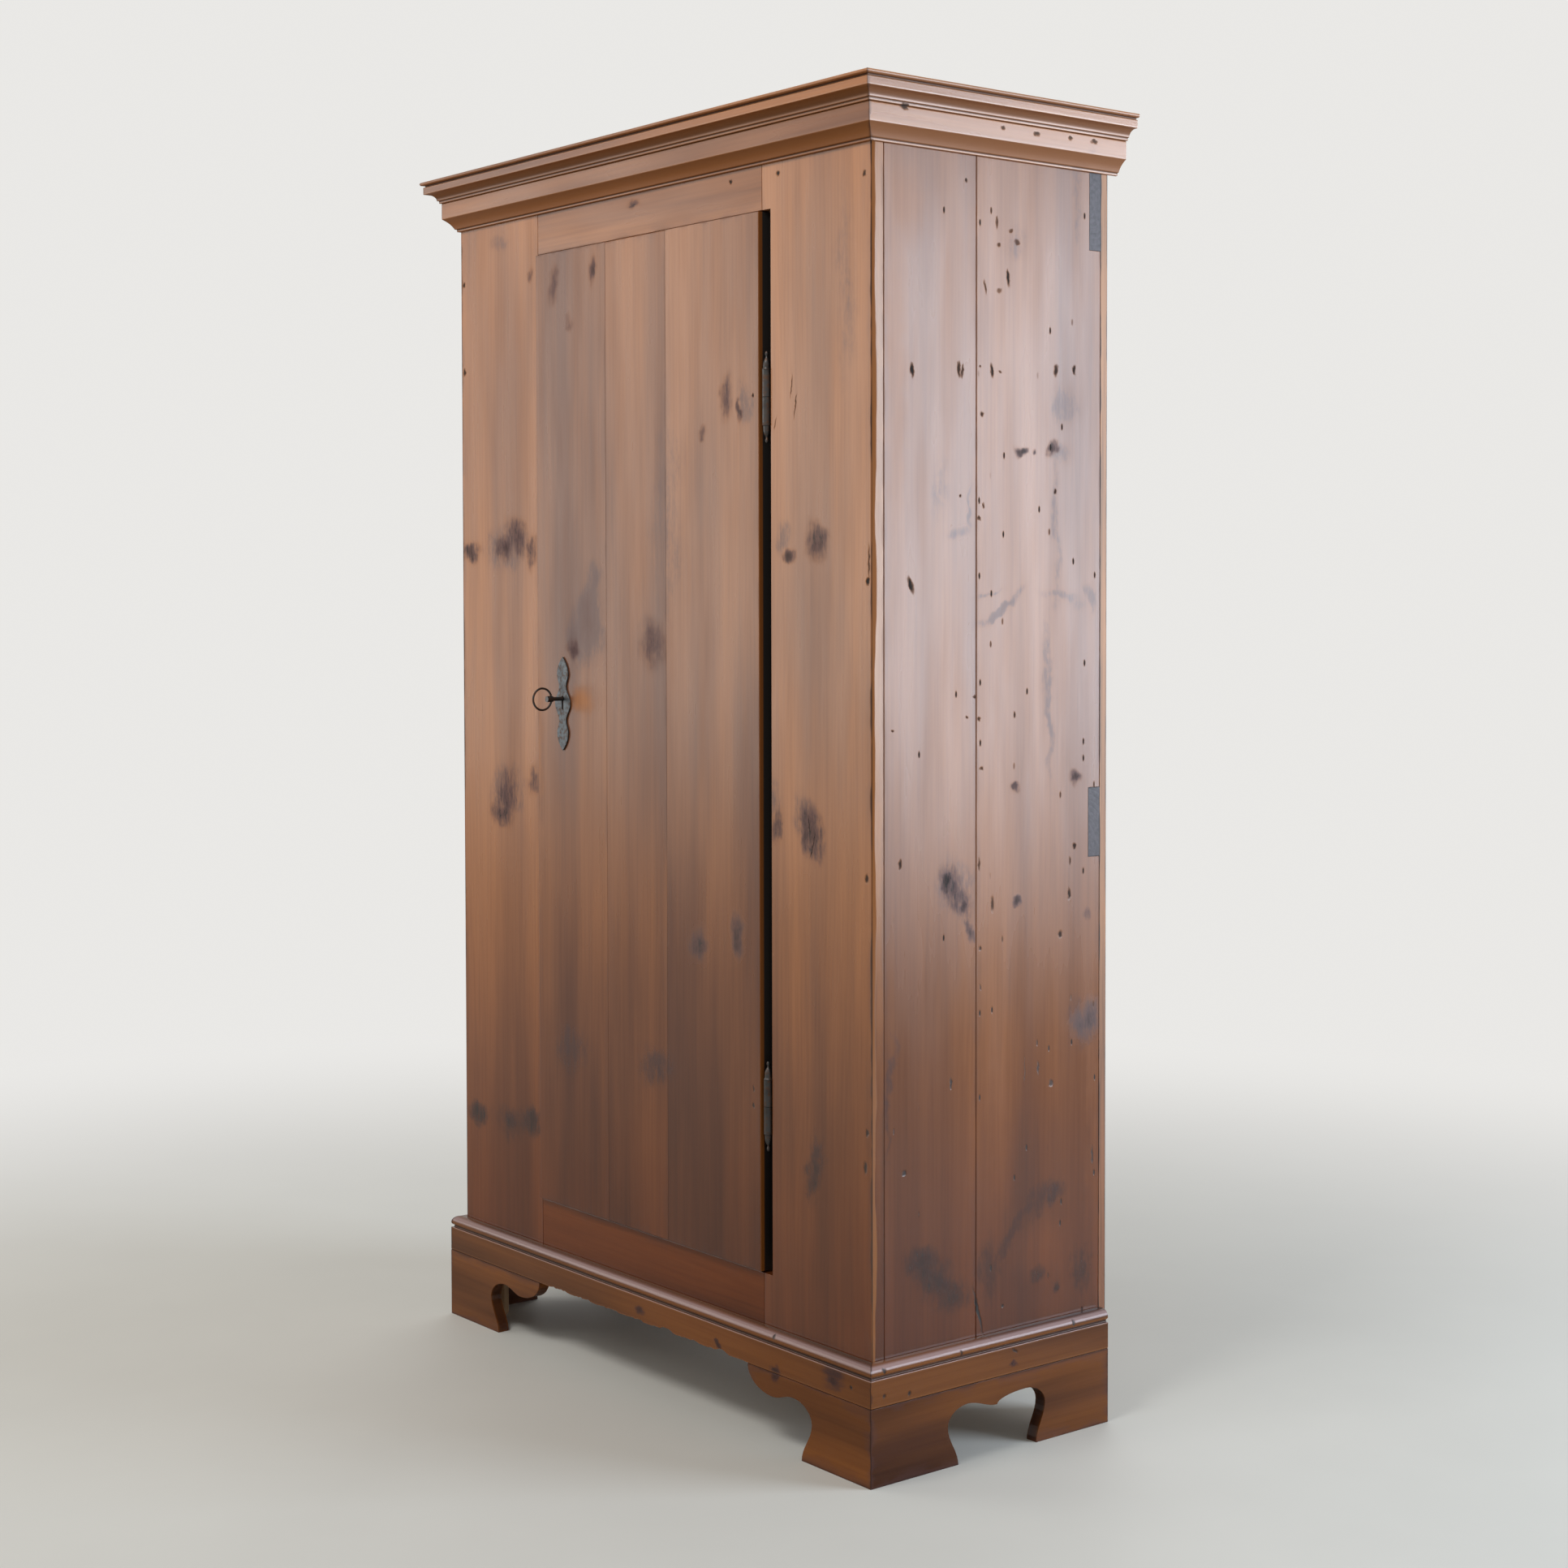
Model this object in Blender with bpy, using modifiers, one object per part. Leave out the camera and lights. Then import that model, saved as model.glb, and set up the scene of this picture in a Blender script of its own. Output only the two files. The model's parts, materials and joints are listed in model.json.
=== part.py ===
"""One-door pine cupboard with a moulded cornice and a plinth on bracket feet.

Board sides and a face frame of stiles and rails carry a boarded door on two pin
hinges. A rim lock behind the door throws its bolt when the key turns. Shelves lie
on cleats, the back is lapped boards nailed to rails let into the sides.

Metres, +Z up. The front faces -Y and X runs along it, with the hinges at +X.
The origin is on the floor under the middle of the cupboard's outer box.
"""

import math

import bmesh
import bpy
from mathutils import Matrix, Vector

# Fits
FIT = 0.0003  # gap left between two pieces that touch
OVERRUN = 0.004  # how far a cutter passes the wood that it cuts
MERGE = 0.00001

# Carcass
CARCASS_WIDTH = 1.005
CARCASS_DEPTH = 0.415  # face frame's front to the sides' rear edge
CARCASS_HEIGHT = 1.685  # length of the sides
CARCASS_LIFT = 0.0015  # sides' foot above the brackets' top
SIDE_THICKNESS = 0.022
SIDE_SEAM = 0.182  # joint between the two boards of a side, from the front
BOTTOM_THICKNESS = 0.018
BOTTOM_SHOWING = 0.015  # bottom board's top above the opening's lower edge
BOTTOM_TONGUE = 0.009  # thickness of the tongue along each of its ends, on the lower side
DADO_DEPTH = 0.008
TOP_THICKNESS = 0.018
TOP_SEAM = 0.230
ARRIS = 0.0012

# Face frame
FRAME_THICKNESS = 0.020
FRAME_ARRIS = 0.0006
STILE_LEFT_WIDTH = 0.2235
STILE_RIGHT_WIDTH = 0.2275
FRAME_RAIL_BOTTOM = 0.123  # height of the rail under the door
FRAME_RAIL_TOP = 0.118
HINGE_CUTBACK = 0.0185  # how far the right stile is cut back along the door
TENON_LENGTH = 0.036
TENON_THICKNESS = 0.007
TENON_SHOULDER = 0.014  # above and below a tenon

# Door
DOOR_THICKNESS = 0.027
DOOR_PROUD = 0.007  # the door stands this far in front of the frame
DOOR_GAP_LOCK = 0.004
DOOR_GAP_HINGE = 0.0175
DOOR_GAP_TOP = 0.002
DOOR_GAP_BOTTOM = 0.003
DOOR_BOARD_SHARES = (0.337, 0.272, 0.391)  # lock side, middle, hinge side
TONGUE_DEPTH = 0.008
TONGUE_THICKNESS = 0.008
BATTEN_HEIGHT = 0.090
BATTEN_THICKNESS = 0.020
BATTEN_INSET = 0.034  # from the door's upright edges
BATTEN_FROM_END = 0.215  # batten's centre from the door's top or bottom
BATTEN_CHAMFER = 0.006
STOP_THICKNESS = 0.018
STOP_HEIGHT = 0.050
STOP_SHOWING = 0.012  # stop strip's lower edge below the opening's upper one

# Back
BACK_THICKNESS = 0.0125
BACK_LAP = 0.010
BACK_BOARDS = 4
BACK_RAIL_THICKNESS = 0.022
BACK_RAIL_TOP_HEIGHT = 0.110
BACK_RAIL_TOP_DROP = 0.053  # its upper edge below the sides' top
BACK_RAIL_MIDDLE_HEIGHT = 0.096
BACK_RAIL_MIDDLE_RISE = 0.686  # its lower edge above the sides' foot
BACK_RAIL_BOTTOM_HEIGHT = 0.050

# Shelves
SHELF_THICKNESS = 0.018
SHELF_SETBACK = 0.0237  # behind the door's battens
SHELF_RISES = {"lower": 0.411, "middle": 0.816, "upper": 1.218}  # above the bottom board
CLEAT_THICKNESS = 0.018
CLEAT_HEIGHT = 0.030
CLEAT_SETBACK = 0.012
CLEAT_CHAMFER = 0.004

# Hinges
HINGE_LENGTH = 0.1235
HINGE_FROM_TOP = 0.2495  # upper hinge's middle from the door's top
HINGE_FROM_BOTTOM = 0.2275
FINIAL_LENGTH = 0.026
KNUCKLE_RADIUS = 0.0062
KNUCKLE_GAP = 0.0006
PIN_RADIUS = 0.0032
LEAF_THICKNESS = 0.002
LEAF_WIDTH = 0.034
LEAF_MARGIN = 0.002  # leaf's ends from its knuckle's ends
FINIAL_SHARES = (  # along the finial from its tip, and radius as a share of the knuckle's
    (0.00, 0.00),
    (0.02, 0.24),
    (0.09, 0.36),
    (0.17, 0.37),
    (0.25, 0.26),
    (0.32, 0.28),
    (0.42, 0.52),
    (0.55, 0.72),
    (0.70, 0.80),
    (0.86, 0.84),
    (0.93, 1.00),
)

# Lock
KEY_RISE = 0.769  # key's axis above the door's lower edge
BACKSET = 0.0715  # key's axis from the door's lock edge
CASE_WIDTH = 0.112
CASE_HEIGHT = 0.090
CASE_DEPTH = 0.018
CASE_WALL = 0.0016
CASE_ARRIS = 0.0008
CASE_FROM_EDGE = 0.0008
BOLT_HEIGHT = 0.016
BOLT_THICKNESS = 0.006
BOLT_FROM_DOOR = 0.003
BOLT_THROW = 0.013
BOLT_TAIL_GAP = 0.0104  # bolt's tail to the case's end wall
TALON_BITE = 0.0033  # how far the bit reaches into the talon
TALON_PLAY = 0.0014  # beside the bit, where it enters
TALON_ROOM = 0.0022  # above the bit
STUD_RADIUS = 0.002
STUD_BEFORE_AXIS = 0.040  # from the key's axis towards the lock edge
STUD_SLOT_PLAY = 0.001

# Key
SHANK_RADIUS = 0.003
SHANK_SHOWING = 0.0195  # bow's near edge to the escutcheon
SHANK_SEAT = 0.0012  # how far the shank's end runs into the case's back
COLLAR_RADIUS = 0.0045
COLLAR_LENGTH = 0.010  # stands inside the bow
BOW_RADIUS = 0.0162  # ring's centre line
BOW_WIRE = 0.0016
BIT_REACH = 0.0128
BIT_WIDTH = 0.010
BIT_THICKNESS = 0.0024
BIT_WARD = 0.0014
BIT_FROM_DOOR = 0.0035

# Escutcheon and keyhole
PLATE_HEIGHT = 0.141
PLATE_THICKNESS = 0.0022
PLATE_DROP = 0.0075  # plate's middle below the key's axis
PLATE_WAIST = 0.0205  # half width at the middle
PLATE_NECK = 0.0092
PLATE_LEAF = 0.0148
PLATE_NECK_SHARE = 0.37  # heights from the middle, as shares of half the height
PLATE_LEAF_SHARE = 0.62
HOLE_RADIUS = 0.0041
HOLE_SLOT = 0.0042
HOLE_DROP = 0.0160  # slot's bottom below the key's axis

# Cornice, each member's height and how far it steps out over the one below
CORNICE_REAR = 0.0276  # how far the returns run past the sides' rear edge
CROWN_RISE = 0.0037  # crown's top above the top boards
NOSE_HEIGHT = 0.0055
NOSE_STEP = 0.0043
QUIRK_HEIGHT = 0.0025
QUIRK_DEPTH = 0.0025
FASCIA_HEIGHT = 0.0115
FASCIA_STEP = 0.0032
COVE_HEIGHT = 0.0105
COVE_RUN = 0.0125
COVE_STEP = 0.0025
BEAD_HEIGHT = 0.0040
BEAD_STEP = 0.0028
FRIEZE_HEIGHT = 0.0247
SPLAY_HEIGHT = 0.0165
SPLAY_RUN = 0.0152
SPLAY_SAG = 0.0015
SPLAY_STEP = 0.0025
LIP_HEIGHT = 0.0040
LIP_REACH = 0.0045

# Base moulding, from the bottom up
BASE_FLAT = 0.0377
BASE_QUIRK_HEIGHT = 0.0043
BASE_QUIRK_DEPTH = 0.0030
BASE_NOSE_HEIGHT = 0.0040
BASE_SLOPE_HEIGHT = 0.0085
BASE_SLOPE_SETBACK = 0.0025  # slope's foot behind the nose

# Plinth
PLINTH_HEIGHT = 0.1035  # brackets and skirts
PLINTH_REACH = 0.019  # in front of the carcass
TOE = 0.1425
ANKLE = 0.1210  # narrowest width of a foot
ANKLE_HEIGHT = 0.0535
SCOOP_RUN = 0.0400  # from the ankle to the top of the scoop
SCOOP_RISE = 0.0265
LOBE_RUN = 0.0450  # from there to the lowest point of the lobe
LOBE_FALL = 0.0095
END_RUN = 0.0545  # from there to the bracket's end
SIDE_TOE_FRONT = 0.1525
SIDE_ANKLE_FRONT = 0.1340
SIDE_TOE_REAR = 0.1385
SIDE_ANKLE_REAR = 0.1220
SIDE_SCOOP_RUN = 0.0360
SIDE_SCOOP_RISE = 0.0250
SIDE_DROP_FALL = 0.0115
BLOCK_SIDE = 0.056
BLOCK_CHAMFER = 0.022

# Steps of round shapes
ROUND_STEPS = 24
CURVE_STEPS = 8
NOSE_STEPS = 4
COVE_STEPS = 5
ARRIS_STEPS = 2
HOLE_STEPS = 14
PLATE_STEPS = 5
RING_STEPS = 36
WIRE_STEPS = 8

# Heights, worked out from the sizes above
CARCASS_BASE = PLINTH_HEIGHT + CARCASS_LIFT
CARCASS_TOP = CARCASS_BASE + CARCASS_HEIGHT
OPENING_BOTTOM = CARCASS_BASE + FRAME_RAIL_BOTTOM
OPENING_TOP = CARCASS_TOP - FRAME_RAIL_TOP
BOTTOM_TOP = OPENING_BOTTOM + BOTTOM_SHOWING
TONGUE_TOP = BOTTOM_TOP - BOTTOM_THICKNESS + BOTTOM_TONGUE
DOOR_BOTTOM = OPENING_BOTTOM + DOOR_GAP_BOTTOM
DOOR_TOP = OPENING_TOP - DOOR_GAP_TOP
LOCK_HEIGHT = DOOR_BOTTOM + KEY_RISE
HINGE_HEIGHTS = {"upper": DOOR_TOP - HINGE_FROM_TOP, "lower": DOOR_BOTTOM + HINGE_FROM_BOTTOM}
CORNICE_TOP = CARCASS_TOP + FIT + TOP_THICKNESS + CROWN_RISE
CROWN_BASE = CORNICE_TOP - NOSE_HEIGHT - QUIRK_HEIGHT - FASCIA_HEIGHT - COVE_HEIGHT - BEAD_HEIGHT

# Depths behind the face frame's front
DOOR_FACE = -DOOR_PROUD
DOOR_REAR = DOOR_FACE + DOOR_THICKNESS
INSIDE_FRONT = FRAME_THICKNESS + FIT
SHELF_FRONT = DOOR_REAR + FIT + BATTEN_THICKNESS + SHELF_SETBACK
BACK_RAIL_FRONT = CARCASS_DEPTH - BACK_RAIL_THICKNESS
CASE_FRONT = DOOR_REAR + FIT
CASE_BACK = CASE_FRONT + CASE_DEPTH
LEAF_FACE = KNUCKLE_RADIUS - LEAF_THICKNESS
PLATE_FACE = DOOR_FACE - FIT - PLATE_THICKNESS
BOW_NEAR = PLATE_FACE - SHANK_SHOWING
KEY_REACH = 2 * BOW_RADIUS + BOW_WIRE - BOW_NEAR
FRONT = (KEY_REACH - CARCASS_DEPTH - CORNICE_REAR) / 2  # y of the face frame's front

# Places across the front
HALF_WIDTH = CARCASS_WIDTH / 2
INSIDE_HALF = HALF_WIDTH - SIDE_THICKNESS
DOOR_LEFT = -HALF_WIDTH + STILE_LEFT_WIDTH + DOOR_GAP_LOCK
SLOT_RIGHT = HALF_WIDTH - STILE_RIGHT_WIDTH + HINGE_CUTBACK
DOOR_RIGHT = SLOT_RIGHT - DOOR_GAP_HINGE
DOOR_WIDTH = DOOR_RIGHT - DOOR_LEFT
HINGE_X = SLOT_RIGHT - DOOR_GAP_HINGE / 2
KEY_X = DOOR_LEFT + BACKSET
CASE_LEFT = DOOR_LEFT + CASE_FROM_EDGE
CASE_RIGHT = CASE_LEFT + CASE_WIDTH

KNUCKLE_LENGTH = (HINGE_LENGTH - KNUCKLE_GAP) / 2 - FINIAL_LENGTH
BOLT_ABOVE_AXIS = BIT_REACH - TALON_BITE
MITRE_GAP = FIT / math.sqrt(2)
BACK_RAILS = {  # lower and upper edge of each rail
    "back_rail_top": (
        CARCASS_TOP - BACK_RAIL_TOP_DROP - BACK_RAIL_TOP_HEIGHT,
        CARCASS_TOP - BACK_RAIL_TOP_DROP,
    ),
    "back_rail_middle": (
        CARCASS_BASE + BACK_RAIL_MIDDLE_RISE,
        CARCASS_BASE + BACK_RAIL_MIDDLE_RISE + BACK_RAIL_MIDDLE_HEIGHT,
    ),
    "back_rail_bottom": (CARCASS_BASE, CARCASS_BASE + BACK_RAIL_BOTTOM_HEIGHT),
}

PINE = (0.42, 0.20, 0.10)
PINE_DARK = (0.33, 0.15, 0.075)
PINE_BARE = (0.55, 0.36, 0.20)
IRON = (0.10, 0.10, 0.105)
IRON_BRIGHT = (0.30, 0.30, 0.30)


def clear_scene():
    for item in list(bpy.data.objects):
        bpy.data.objects.remove(item, do_unlink=True)


def new_collection(name):
    collection = bpy.data.collections.new(name)
    bpy.context.scene.collection.children.link(collection)
    return collection


def finish(name, colour, roughness, metallic=0.0):
    """A Principled material of one colour."""
    material = bpy.data.materials.new(name)
    material.use_nodes = True
    shader = material.node_tree.nodes["Principled BSDF"]
    shader.inputs["Base Color"].default_value = (*colour, 1.0)
    shader.inputs["Roughness"].default_value = roughness
    shader.inputs["Metallic"].default_value = metallic
    return material


def wood(name, colour=PINE):
    return finish(name, colour, 0.35)


def iron(name, colour=IRON):
    return finish(name, colour, 0.45, 0.9)


def depth(distance):
    """The y of a place this far behind the face frame's front."""
    return FRONT + distance


def add_part(name, mesh, material, place=None):
    part = bpy.data.objects.new(name, mesh)
    mesh.materials.clear()
    mesh.materials.append(material)
    PARTS.objects.link(part)
    if place is not None:
        part.matrix_world = place
    return part


def as_cutter(item):
    """A guide shape: out of the part, drawn as wire and not rendered."""
    item.hide_render = True
    item.display_type = "WIRE"
    for collection in list(item.users_collection):
        collection.objects.unlink(item)
    CUTTERS.objects.link(item)
    return item


def box_mesh(name, size):
    shape = bmesh.new()
    bmesh.ops.create_cube(shape, size=1.0)
    bmesh.ops.scale(shape, vec=size, verts=shape.verts)
    mesh = bpy.data.meshes.new(name)
    shape.to_mesh(mesh)
    shape.free()
    return mesh


def round_arris(part, width, segments=2):
    bevel = part.modifiers.new("arris", "BEVEL")
    bevel.width = width
    bevel.segments = segments
    bevel.limit_method = "ANGLE"


def block(name, low, high, material, arris=ARRIS, segments=2):
    """A board between two corners. Its y is measured back from the frame's front."""
    size = Vector(high) - Vector(low)
    middle = (Vector(high) + Vector(low)) / 2
    part = add_part(name, box_mesh(name, size), material)
    part.location = (middle.x, depth(middle.y), middle.z)
    if arris:
        round_arris(part, arris, segments)
    return part


def box_cutter(low, high):
    return as_cutter(block("cutter", low, high, SCRAP, arris=0.0))


def rod_mesh(name, radius, length, steps=ROUND_STEPS):
    shape = bmesh.new()
    bmesh.ops.create_cone(
        shape, cap_ends=True, segments=steps, radius1=radius, radius2=radius, depth=length
    )
    mesh = bpy.data.meshes.new(name)
    shape.to_mesh(mesh)
    shape.free()
    mesh.shade_smooth()
    mesh.set_sharp_from_angle(angle=math.radians(40))
    return mesh


def rod_cutter(centre, radius, length, along="Z", steps=ROUND_STEPS):
    turn = Matrix() if along == "Z" else Matrix.Rotation(math.pi / 2, 4, "X")
    cutter = add_part("cutter", rod_mesh("cutter", radius, length, steps), SCRAP)
    cutter.matrix_world = Matrix.Translation((centre[0], depth(centre[1]), centre[2])) @ turn
    return as_cutter(cutter)


def boolean(part, other, operation):
    change = part.modifiers.new(operation.lower(), "BOOLEAN")
    change.operation = operation
    change.solver = "EXACT"
    change.object = other


def cut(part, *cutters):
    for cutter in cutters:
        boolean(part, cutter, "DIFFERENCE")


def join(part, *others):
    for other in others:
        boolean(part, as_cutter(other), "UNION")


def outline_mesh(name, outline, length):
    """A flat outline in the local XY plane, carried half the length each way along Z."""
    curve = bpy.data.curves.new(name, "CURVE")
    curve.dimensions = "2D"
    curve.fill_mode = "BOTH"
    curve.extrude = length / 2
    spline = curve.splines.new("POLY")
    spline.points.add(len(outline) - 1)
    for point, place in zip(spline.points, outline):
        point.co = (place[0], place[1], 0.0, 1.0)
    spline.use_cyclic_u = True
    flat = bpy.data.objects.new(name, curve)
    CUTTERS.objects.link(flat)
    graph = bpy.context.evaluated_depsgraph_get()
    mesh = bpy.data.meshes.new_from_object(flat.evaluated_get(graph))
    bpy.data.objects.remove(flat)
    shape = bmesh.new()
    shape.from_mesh(mesh)
    bmesh.ops.remove_doubles(shape, verts=shape.verts, dist=MERGE)
    bmesh.ops.recalc_face_normals(shape, faces=shape.faces)
    shape.to_mesh(mesh)
    shape.free()
    mesh.shade_flat()
    return mesh


def axes(across, up, out, origin):
    """A placing matrix from three directions and the origin."""
    turned = Matrix((across, up, out)).transposed().to_4x4()
    return Matrix.Translation(origin) @ turned


def arc(centre, radii, start, end, steps=CURVE_STEPS):
    """Points on an ellipse from one angle to another, in degrees."""
    points = []
    for step in range(steps + 1):
        angle = math.radians(start + (end - start) * step / steps)
        points.append(
            (centre[0] + radii[0] * math.cos(angle), centre[1] + radii[1] * math.sin(angle))
        )
    return points


def wave(start, end, steps=CURVE_STEPS, turned=False):
    """A half wave of a cosine from one point to another, level at both, or upright if turned."""
    points = []
    for step in range(steps + 1):
        share = step / steps
        ease = (1 - math.cos(math.pi * share)) / 2
        across, rise = (ease, share) if turned else (share, ease)
        points.append(
            (start[0] + (end[0] - start[0]) * across, start[1] + (end[1] - start[1]) * rise)
        )
    return points


def hollow(start, end, sag, steps=CURVE_STEPS):
    """A shallow hollow between two points, its middle set in towards the wood."""
    across, rise = end[0] - start[0], end[1] - start[1]
    length = math.hypot(across, rise)
    points = []
    for step in range(steps + 1):
        share = step / steps
        inset = 4 * sag * share * (1 - share) / length
        points.append(
            (start[0] + across * share + rise * inset, start[1] + rise * share - across * inset)
        )
    return points


def chained(*runs):
    """Runs of points as one outline, without the points that two runs share."""
    outline = []
    for run in runs:
        for point in run:
            if not outline or (Vector(point) - Vector(outline[-1])).length > MERGE:
                outline.append(point)
    return outline


# Carcass


def sides():
    for side, sign in (("right", 1), ("left", -1)):
        inner, outer = sorted((sign * INSIDE_HALF, sign * HALF_WIDTH))
        front = block(
            f"side_{side}_front_board",
            (inner, INSIDE_FRONT, CARCASS_BASE),
            (outer, SIDE_SEAM, CARCASS_TOP),
            wood(f"side_{side}_front"),
        )
        rear = block(
            f"side_{side}_rear_board",
            (inner, SIDE_SEAM + FIT, CARCASS_BASE),
            (outer, CARCASS_DEPTH, CARCASS_TOP),
            wood(f"side_{side}_rear"),
        )
        dado_face = sign * (INSIDE_HALF + DADO_DEPTH)
        dado_open = sign * (INSIDE_HALF - OVERRUN)
        dado_low, dado_high = sorted((dado_face, dado_open))
        for board in (front, rear):
            cut(
                board,
                box_cutter(
                    (dado_low, INSIDE_FRONT - OVERRUN, BOTTOM_TOP - BOTTOM_THICKNESS - FIT),
                    (dado_high, CARCASS_DEPTH + OVERRUN, TONGUE_TOP + FIT),
                ),
            )
        for bottom, top in BACK_RAILS.values():
            notch_base = bottom - (OVERRUN if bottom == CARCASS_BASE else FIT)
            cut(
                rear,
                box_cutter(
                    (inner - OVERRUN, BACK_RAIL_FRONT - FIT, notch_base),
                    (outer + OVERRUN, CARCASS_DEPTH + OVERRUN, top + FIT),
                ),
            )


def face_frame():
    left_inner = -HALF_WIDTH + STILE_LEFT_WIDTH
    right_inner = HALF_WIDTH - STILE_RIGHT_WIDTH
    left = block(
        "front_stile_left",
        (-HALF_WIDTH, 0, CARCASS_BASE),
        (left_inner, FRAME_THICKNESS, CARCASS_TOP),
        wood("stile_left"),
        arris=FRAME_ARRIS,
    )
    right = block(
        "front_stile_right",
        (right_inner, 0, CARCASS_BASE),
        (HALF_WIDTH, FRAME_THICKNESS, CARCASS_TOP),
        wood("stile_right"),
        arris=FRAME_ARRIS,
    )
    tenon_front = (FRAME_THICKNESS - TENON_THICKNESS) / 2
    tenon_rear = tenon_front + TENON_THICKNESS
    for name, bottom, top in (
        ("front_rail_bottom", CARCASS_BASE, OPENING_BOTTOM),
        ("front_rail_top", OPENING_TOP, CARCASS_TOP),
    ):
        rail = block(
            name,
            (left_inner + FIT, 0, bottom),
            (right_inner - FIT, FRAME_THICKNESS, top),
            wood(name),
            arris=FRAME_ARRIS,
        )
        low = bottom + TENON_SHOULDER
        high = top - TENON_SHOULDER
        tenon = block(
            "tenon",
            (left_inner - TENON_LENGTH, tenon_front, low),
            (right_inner + TENON_LENGTH, tenon_rear, high),
            SCRAP,
            arris=0.0,
        )
        join(rail, tenon)
        mortise = box_cutter(
            (left_inner - TENON_LENGTH - FIT, tenon_front - FIT, low - FIT),
            (right_inner + TENON_LENGTH + FIT, tenon_rear + FIT, high + FIT),
        )
        cut(left, mortise)
        cut(right, mortise)
    cut(
        right,
        box_cutter(
            (right_inner - OVERRUN, -OVERRUN, OPENING_BOTTOM),
            (SLOT_RIGHT, FRAME_THICKNESS + OVERRUN, OPENING_TOP),
        ),
    )
    for height in HINGE_HEIGHTS.values():
        cut(right, leaf_pocket(height, frame_side=True))


def top_and_bottom():
    """The bottom board, let into the sides by a tongue at each end, and two boards on top."""
    reach = INSIDE_HALF + DADO_DEPTH - FIT
    bottom = block(
        "bottom_board",
        (-reach, INSIDE_FRONT, BOTTOM_TOP - BOTTOM_THICKNESS),
        (reach, CARCASS_DEPTH, BOTTOM_TOP),
        wood("bottom_board", PINE_BARE),
    )
    for sign in (1, -1):
        low, high = sorted((sign * (INSIDE_HALF - FIT), sign * (reach + OVERRUN)))
        cut(
            bottom,
            box_cutter(
                (low, INSIDE_FRONT - OVERRUN, TONGUE_TOP),
                (high, CARCASS_DEPTH + OVERRUN, BOTTOM_TOP + OVERRUN),
            ),
        )
    rear_face = CARCASS_DEPTH + FIT + BACK_THICKNESS
    for name, front, rear in (
        ("top_board_front", 0, TOP_SEAM),
        ("top_board_rear", TOP_SEAM + FIT, rear_face),
    ):
        block(
            name,
            (-HALF_WIDTH, front, CARCASS_TOP + FIT),
            (HALF_WIDTH, rear, CARCASS_TOP + FIT + TOP_THICKNESS),
            wood(name, PINE_BARE),
        )


def back():
    for name, (bottom, top) in BACK_RAILS.items():
        block(
            name,
            (-HALF_WIDTH, BACK_RAIL_FRONT, bottom),
            (HALF_WIDTH, CARCASS_DEPTH, top),
            wood(name, PINE_BARE),
            arris=0.0,
        )
    pitch = CARCASS_WIDTH / BACK_BOARDS
    half = BACK_THICKNESS / 2
    length = CARCASS_TOP - CARCASS_BASE
    for index in range(BACK_BOARDS):
        low = -HALF_WIDTH + index * pitch
        high = low + pitch
        first, last = index == 0, index == BACK_BOARDS - 1
        outline = [(low if first else low - BACK_LAP + FIT, 0)]
        if not first:
            outline += [(low - BACK_LAP + FIT, half - FIT / 2), (low + FIT, half - FIT / 2)]
        outline.append((low if first else low + FIT, BACK_THICKNESS))
        outline.append((high, BACK_THICKNESS))
        if not last:
            outline += [(high, half + FIT / 2), (high - BACK_LAP, half + FIT / 2)]
        outline.append((high if last else high - BACK_LAP, 0))
        place = Matrix.Translation(
            (0, depth(CARCASS_DEPTH + FIT), (CARCASS_BASE + CARCASS_TOP) / 2)
        )
        name = f"back_board_{index + 1}"
        add_part(name, outline_mesh(name, outline, length), wood(name, PINE_BARE), place)


def shelves():
    """Shelves on cleats, cut to stop at the front of the back rails."""
    for level, rise in SHELF_RISES.items():
        top = BOTTOM_TOP + rise
        under = top - SHELF_THICKNESS
        block(
            f"shelf_{level}",
            (-INSIDE_HALF + FIT, SHELF_FRONT, under),
            (INSIDE_HALF - FIT, BACK_RAIL_FRONT - FIT, top),
            wood(f"shelf_{level}", PINE_BARE),
        )
        for side, sign in (("left", -1), ("right", 1)):
            wall = sign * (INSIDE_HALF - FIT)
            inner, outer = sorted((wall, wall - sign * CLEAT_THICKNESS))
            block(
                f"shelf_cleat_{level}_{side}",
                (inner, SHELF_FRONT + CLEAT_SETBACK, under - FIT - CLEAT_HEIGHT),
                (outer, BACK_RAIL_FRONT - FIT, under - FIT),
                wood(f"cleat_{level}_{side}", PINE_BARE),
                arris=CLEAT_CHAMFER,
                segments=1,
            )


# Door


def board_outline(low, high, tongue, groove, round_low, round_high):
    """Plan of a door board: a tongue on its left edge, a groove in its right one."""
    front, rear = DOOR_FACE, DOOR_REAR
    middle = (front + rear) / 2
    half = TONGUE_THICKNESS / 2
    outline = []
    if round_low:
        outline += arc((low + ARRIS, front + ARRIS), (ARRIS, ARRIS), 180, 270, ARRIS_STEPS)
    else:
        outline.append((low, front))
    if round_high:
        outline += arc((high - ARRIS, front + ARRIS), (ARRIS, ARRIS), 270, 360, ARRIS_STEPS)
    else:
        outline.append((high, front))
    if groove:
        floor = high - TONGUE_DEPTH - FIT
        outline += [
            (high, middle - half - FIT),
            (floor, middle - half - FIT),
            (floor, middle + half + FIT),
            (high, middle + half + FIT),
        ]
    outline += [(high, rear), (low, rear)]
    if tongue:
        tip = low - TONGUE_DEPTH
        outline += [
            (low, middle + half),
            (tip, middle + half),
            (tip, middle - half),
            (low, middle - half),
        ]
    return outline


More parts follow.
